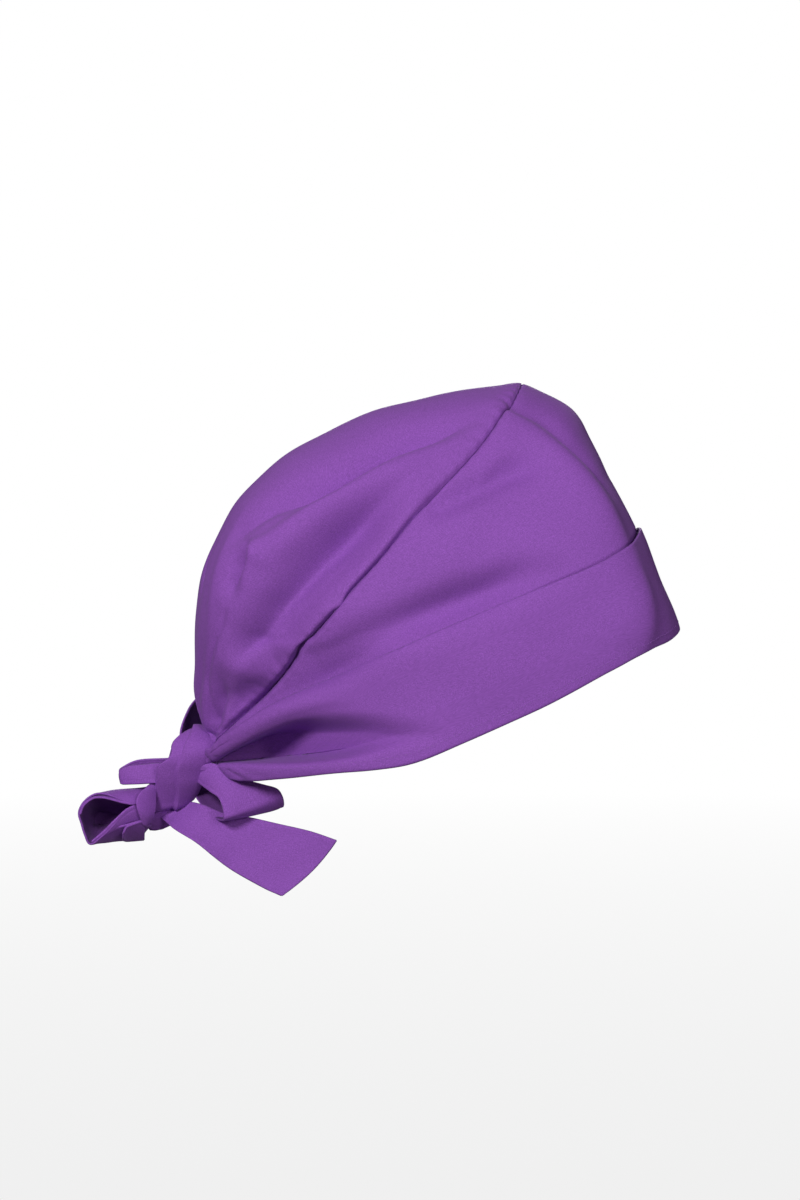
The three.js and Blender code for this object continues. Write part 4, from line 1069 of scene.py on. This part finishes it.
LOOP_LEFT_UNDER = [
    (-149, 0, -58, -150, 7, -63), (-156, -10, -61, -156, 9, -69.6), (-162, -11.5, -63, -162, 9, -70.7),
    (-168, -12.4, -64.6, -168, 6, -71.4), (-173.5, -13.5, -67.6, -173.5, 0, -72),
    (-178.6, -14, -71.6, -178.6, -8, -72.5),
]
LOOP_LEFT_FRONT = [
    (-149, -1, -49.5, -148, 1, -59.5), (-157, -12, -52.6, -153.2, -5, -61.5),
    (-160.1, -13, -54.1, -157, -6.5, -62.7), (-163.2, -14, -56.2, -161.4, -8, -63.9),
    (-168.6, -14.8, -61.3, -166.8, -11, -64.9), (-173.2, -15, -66.2, -171.7, -13, -67.2),
    (-178.8, -14.8, -71.2, -178.4, -14, -71.8),
]
LOOP_LEFT_BACK = [
    (-150, 9, -44, -150, 12, -62), (-158, 10, -45.5, -158, 13, -66), (-166, 11, -46.5, -166, 13.5, -68),
    (-174, 11.5, -48, -173, 13.8, -69), (-180, 12, -51, -178.5, 13.8, -68), (-183, 9, -55, -181.5, 11, -65),
]
LOOP_RIGHT = [
    (-128, -3, -40, -126, -5, -31), (-124.5, -7, -42.6, -118.6, -9, -31.8),
    (-120.2, -11.5, -45.6, -113.2, -11, -34.3), (-115.9, -14, -48.6, -104.3, -12, -39.2),
    (-113.7, -15.5, -53, -94.5, -11.5, -42), (-112.9, -16, -57.2, -86.8, -10, -44.4),
    (-112.8, -15.2, -59.6, -83.8, -8.5, -48.8), (-114, -10, -60.4, -83.2, -2, -53.2),
    (-117.6, -2, -59.2, -84.6, 4, -52.4), (-122, 4, -55.4, -92, 14, -46),
    (-126.4, 5, -49.8, -104, 18, -38.4), (-128.4, 4, -46, -120, 13, -33),
]
# inside= gives painted shade: the front face of loop_left and loop_left_back and the back face of loop_right
# are darkened in colour where the loops' insides lie in shade
loop_left = ribbon("loop_left", LOOP_LEFT, "bow_loop_left", inside=(1, 0), along=150, across=34, seed=5,
                   bow=((0, -0.6), (1, -0.6)))
loop_left_top = ribbon("loop_left_top", LOOP_LEFT_TOP, along=100, seed=14, bow=((0, 1.4), (1, 0.4)))
loop_left_front = ribbon("loop_left_front", LOOP_LEFT_FRONT, along=70, seed=15)
loop_left_back = ribbon("loop_left_back", LOOP_LEFT_BACK, inside=(1, 0), along=70, seed=17)
loop_left_under = ribbon("loop_left_under", LOOP_LEFT_UNDER, along=70, seed=16)
LOOP_RIGHT_BOW = ((0, 1.2), (0.5, 1.4), (0.62, 1.2), (0.8, 1.5), (1, 1.5))
loop_right = ribbon("loop_right", LOOP_RIGHT, "bow_loop_right", inside=(0, 1), along=150, across=40, seed=6,
                    bow=LOOP_RIGHT_BOW)

# %% The ends of the ties
TAIL_LONG = [
    (-146, 11, -55, -147.6, 9, -57), (-139, 10.5, -52.8, -142.5, 5, -60.6),
    (-131, 7, -51.5, -137.5, -2, -64.9), (-123, 0, -53, -128, -7, -70.7),
    (-111.4, -3, -57.5, -119, -8, -77.5), (-101.6, -3, -58.8, -109.5, -7, -84.5),
    (-87.3, -5, -62, -99, -7, -90.5), (-70, -9, -66, -91, -9, -94.8), (-57, -11, -70.4, -83.8, -12, -98.1),
]
TAIL_UPPER = [
    (-139, -3, -31.6, -139, -5, -40.8), (-146, -5, -31.8, -146, -7, -41.2),
    (-153, -6, -32.4, -153, -7.5, -41.6), (-160.3, -6, -33.1, -159.2, -7, -41.9),
    (-165.4, -3, -35, -164.8, -3.5, -42), (-163.6, 1.5, -33.2, -163, 4, -41),
    (-156, 2.5, -30, -156, 6, -39.6), (-141, 2, -29, -141, 5, -38.6),
]
TAIL_TAB = [
    (-153.2, -9, -60.5, -153.2, 7, -70.4), (-156, -10.5, -61.5, -156, 7, -70.6),
    (-159, -11.5, -62.6, -159, 6.5, -70.8), (-161.6, -12, -63.8, -161.6, 5, -70.9),
    (-163.1, -11, -66.5, -163.2, 2, -70.6),
]
TAIL_LOWER = [
    (-137, 11, -50.5, -138, 14, -61), (-143, 6.5, -54.5, -143.6, 12, -64.6),
    (-148.5, 4, -57.8, -148, 10, -64.8), (-152.2, 3, -61, -151.8, 7, -63.4),
]
TAIL_LOWER_BACK = [
    (-140, 10, -56, -140, 14, -63), (-144, 11, -58, -143, 15, -64.4), (-148, 11, -60, -147, 15, -65.4),
    (-151, 11, -62, -150, 14, -65.2),
]
STRAP_FAR = [
    (-133, 7, -25, -128, 14, -34), (-135.2, 9, -17, -127, 26, -27), (-132.6, 12, -8, -122, 37, -19),
    (-128, 17, 0, -116, 43, -12), (-119, 24, 7, -107, 47, -5),
]
NECK_TURN = [
    (-147, 6, -43, -143, 8, -42.5), (-149.5, -2, -41.6, -144, 2, -41), (-152.6, -9.5, -44, -146, -4, -43),
    (-155.6, -12.5, -48, -146.8, -5, -48), (-156.4, -13.5, -51.5, -146.8, -5, -53),
    (-155.6, -13, -56, -147.8, -5.5, -57.5), (-154.3, -10.5, -60, -150, -5.5, -61),
    (-153.3, -7, -62.8, -151.4, -5, -63.2), (-151.5, 1, -62.5, -149.5, 2, -63),
]
tail_long = ribbon("tail_long", TAIL_LONG, "tie_tail_long", ripple=0.5, seed=7, along=150, across=40,
                   end_bow=1.6, bow=((0, 1.4), (1, 1.2)))
tail_upper = ribbon("tail_upper", TAIL_UPPER, "tie_tail_upper", ripple=0.2, seed=8)
tail_tab = ribbon("tail_tab", TAIL_TAB, ripple=0.2, seed=12, along=50, end_bow=0.8)
tail_lower = ribbon("tail_lower", TAIL_LOWER, "tie_tail_lower", ripple=0.2, seed=9, along=50)
tail_lower_back = ribbon("tail_lower_back", TAIL_LOWER_BACK, ripple=0.2, seed=13, along=50)
# inside= gives painted shade: the strap's back face is darkened in colour
strap_far = ribbon("strap_far", STRAP_FAR, "tie_strap_left", inside=(0, 1), ripple=0.2, seed=10)
neck_turn = ribbon("neck_turn", NECK_TURN, "knot_turn", bow=((0, 1.0), (1, 0.6)), ripple=0.2, seed=11,
                   hem=0.0)

# %% Inside of the knot
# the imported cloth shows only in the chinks, so the solid's own shape is kept, drawn in all round
CORE_MIDDLE, CORE_SCALE, CORE_SHIFT = (-0.134, 0.0, -0.035), (0.8, 0.35, 0.8), (0.0, 0.0035, 0.0)
core_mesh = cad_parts["knot_core"].data.copy()
knot_inside = add_object("knot_inside", core_mesh)
work = bmesh.new()
work.from_mesh(core_mesh)
bmesh.ops.remove_doubles(work, verts=work.verts, dist=1e-6)
for vert in work.verts:
    vert.co = [(v - middle) * scale + middle + shift
               for v, middle, scale, shift in zip(vert.co, CORE_MIDDLE, CORE_SCALE, CORE_SHIFT)]
for layer in list(work.loops.layers.uv):
    work.loops.layers.uv.remove(layer)
uv_layer = work.loops.layers.uv.new("cloth")
for face in work.faces:
    face.smooth = True
    for loop in face.loops:
        loop[uv_layer].uv = (loop.vert.co.y, loop.vert.co.z)
work.to_mesh(core_mesh)
work.free()
finish_piece(knot_inside, tie_cloth, "knot_core")

# %% [markdown]
# ## Floor and light
#
# The cap hangs over a wide pale floor in white surroundings. If those were as bright to the cloth
# as they are to the eye, they would flood the folds with light, so the Light Path node gives the
# camera the white and the cloth a weaker, even light. The shapes come from soft lights: a strong
# one in front and to the left, a weak one in front and to the right, a low one for the front end of
# the cuff, one above the back, and one that lights the far side.

# %% Floor
FLOOR_HEIGHT, FLOOR_RADIUS = -0.45, 14.0
FLOOR_NEAR, FLOOR_FAR = (0.8, 0.86), (7.0, 1.0)  # distance in metres, tone
FLOOR_GREY = (0.2, 0.2, 0.2, 1.0)
WHITE = (1.0, 1.0, 1.0, 1.0)


def seen_white(make, weaker, white):
    """A floor or sky that is white to the camera and something weaker to the cloth."""
    path = make("ShaderNodeLightPath")
    return make("ShaderNodeMixShader", {0: path.outputs["Is Camera Ray"], 1: weaker, 2: white})


floor_mesh = bpy.data.meshes.new("floor")
ring = [(FLOOR_RADIUS * math.cos(math.radians(a)), FLOOR_RADIUS * math.sin(math.radians(a)), FLOOR_HEIGHT)
        for a in range(0, 360, 5)]
floor_mesh.from_pydata(ring, [], [tuple(range(len(ring)))])
floor = add_object("floor", floor_mesh)
floor_paint, make = empty_material("pale_floor")
spot = make("ShaderNodeTexCoord")
distance = make("ShaderNodeVectorMath", {0: spot.outputs["Object"]}, operation="LENGTH")
fade = make("ShaderNodeMapRange", {
    "Value": distance.outputs["Value"], "From Min": FLOOR_NEAR[0], "From Max": FLOOR_FAR[0],
    "To Min": FLOOR_NEAR[1], "To Max": FLOOR_FAR[1]})
pale = make("ShaderNodeEmission", {"Color": make("ShaderNodeCombineXYZ", {0: fade, 1: fade, 2: fade})})
dull = make("ShaderNodeBsdfDiffuse", {"Color": FLOOR_GREY})
make("ShaderNodeOutputMaterial", {"Surface": seen_white(make, dull, pale)})
floor.data.materials.append(floor_paint)

# %% Lights
SKY_LIGHT = 0.06
LIGHTS_AIM = (-0.03, 0.0, 0.04)
# name, place and width in metres, power in watts
LIGHTS = [
    ("left_light", (-0.85, -2.05, 0.95), 0.6, 43),
    ("right_light", (0.85, -1.95, 0.55), 0.6, 11),
    ("front_edge_light", (2.2, -0.9, -0.25), 0.5, 3.5),
    ("top_back_light", (-1.2, 0.9, 2.2), 0.6, 8),
    ("far_side_light", (0.1, 2.6, 0.5), 0.6, 34),
]
for name, place, width, power in LIGHTS:
    disk = bpy.data.lights.new(name, "AREA")
    disk.shape, disk.size, disk.energy = "DISK", width, power
    lamp = add_object(name, disk)
    lamp.location = place
    lamp.rotation_euler = (Vector(LIGHTS_AIM) - Vector(place)).to_track_quat("-Z", "Y").to_euler()
    lamp.visible_camera = False
sky = bpy.data.worlds.new("white_surroundings")
sky.use_nodes = True
sky.node_tree.nodes.clear()
make = Nodes(sky.node_tree)
weak, white = (make("ShaderNodeBackground", {"Color": WHITE, "Strength": strength})
               for strength in (SKY_LIGHT, 1.0))
make("ShaderNodeOutputWorld", {"Surface": seen_white(make, weak, white)})
bpy.context.scene.world = sky
bpy.context.scene.view_settings.view_transform = "Standard"
print("lights:", [name for name, *_ in LIGHTS])

SHEETS = [
    (side_panel, (0.13, 0.535), "gathered"), (crown_panel, (0.22, 0.24), "gathered"),
    (cuff, (0.075, 0.60), "folded"),
    (knot_band, (0.024, 0.11), "folded"), (loop_left, (0.028, 0.09), "gathered"),
    (loop_left_top, (0.010, 0.040), "folded"), (loop_left_front, (0.010, 0.028), "folded"),
    (loop_left_back, (0.018, 0.038), "folded"), (loop_left_under, (0.012, 0.038), "folded"),
    (loop_right, (0.026, 0.075), "gathered"), (tail_long, (0.030, 0.085), "hung"),
    (tail_upper, (0.012, 0.05), "hung"), (tail_tab, (0.013, 0.018), "hung"),
    (tail_lower, (0.011, 0.015), "hung"), (tail_lower_back, (0.010, 0.013), "hung"),
    (strap_far, (0.021, 0.050), "gathered"), (neck_turn, (0.010, 0.040), "folded"),
]
for piece, flat, held in SHEETS:
    area = flat_area(piece)
    print(f"{piece.name}: {area * 1e4:.1f} square cm of cloth, {area / (flat[0] * flat[1]):.2f} of its cut")
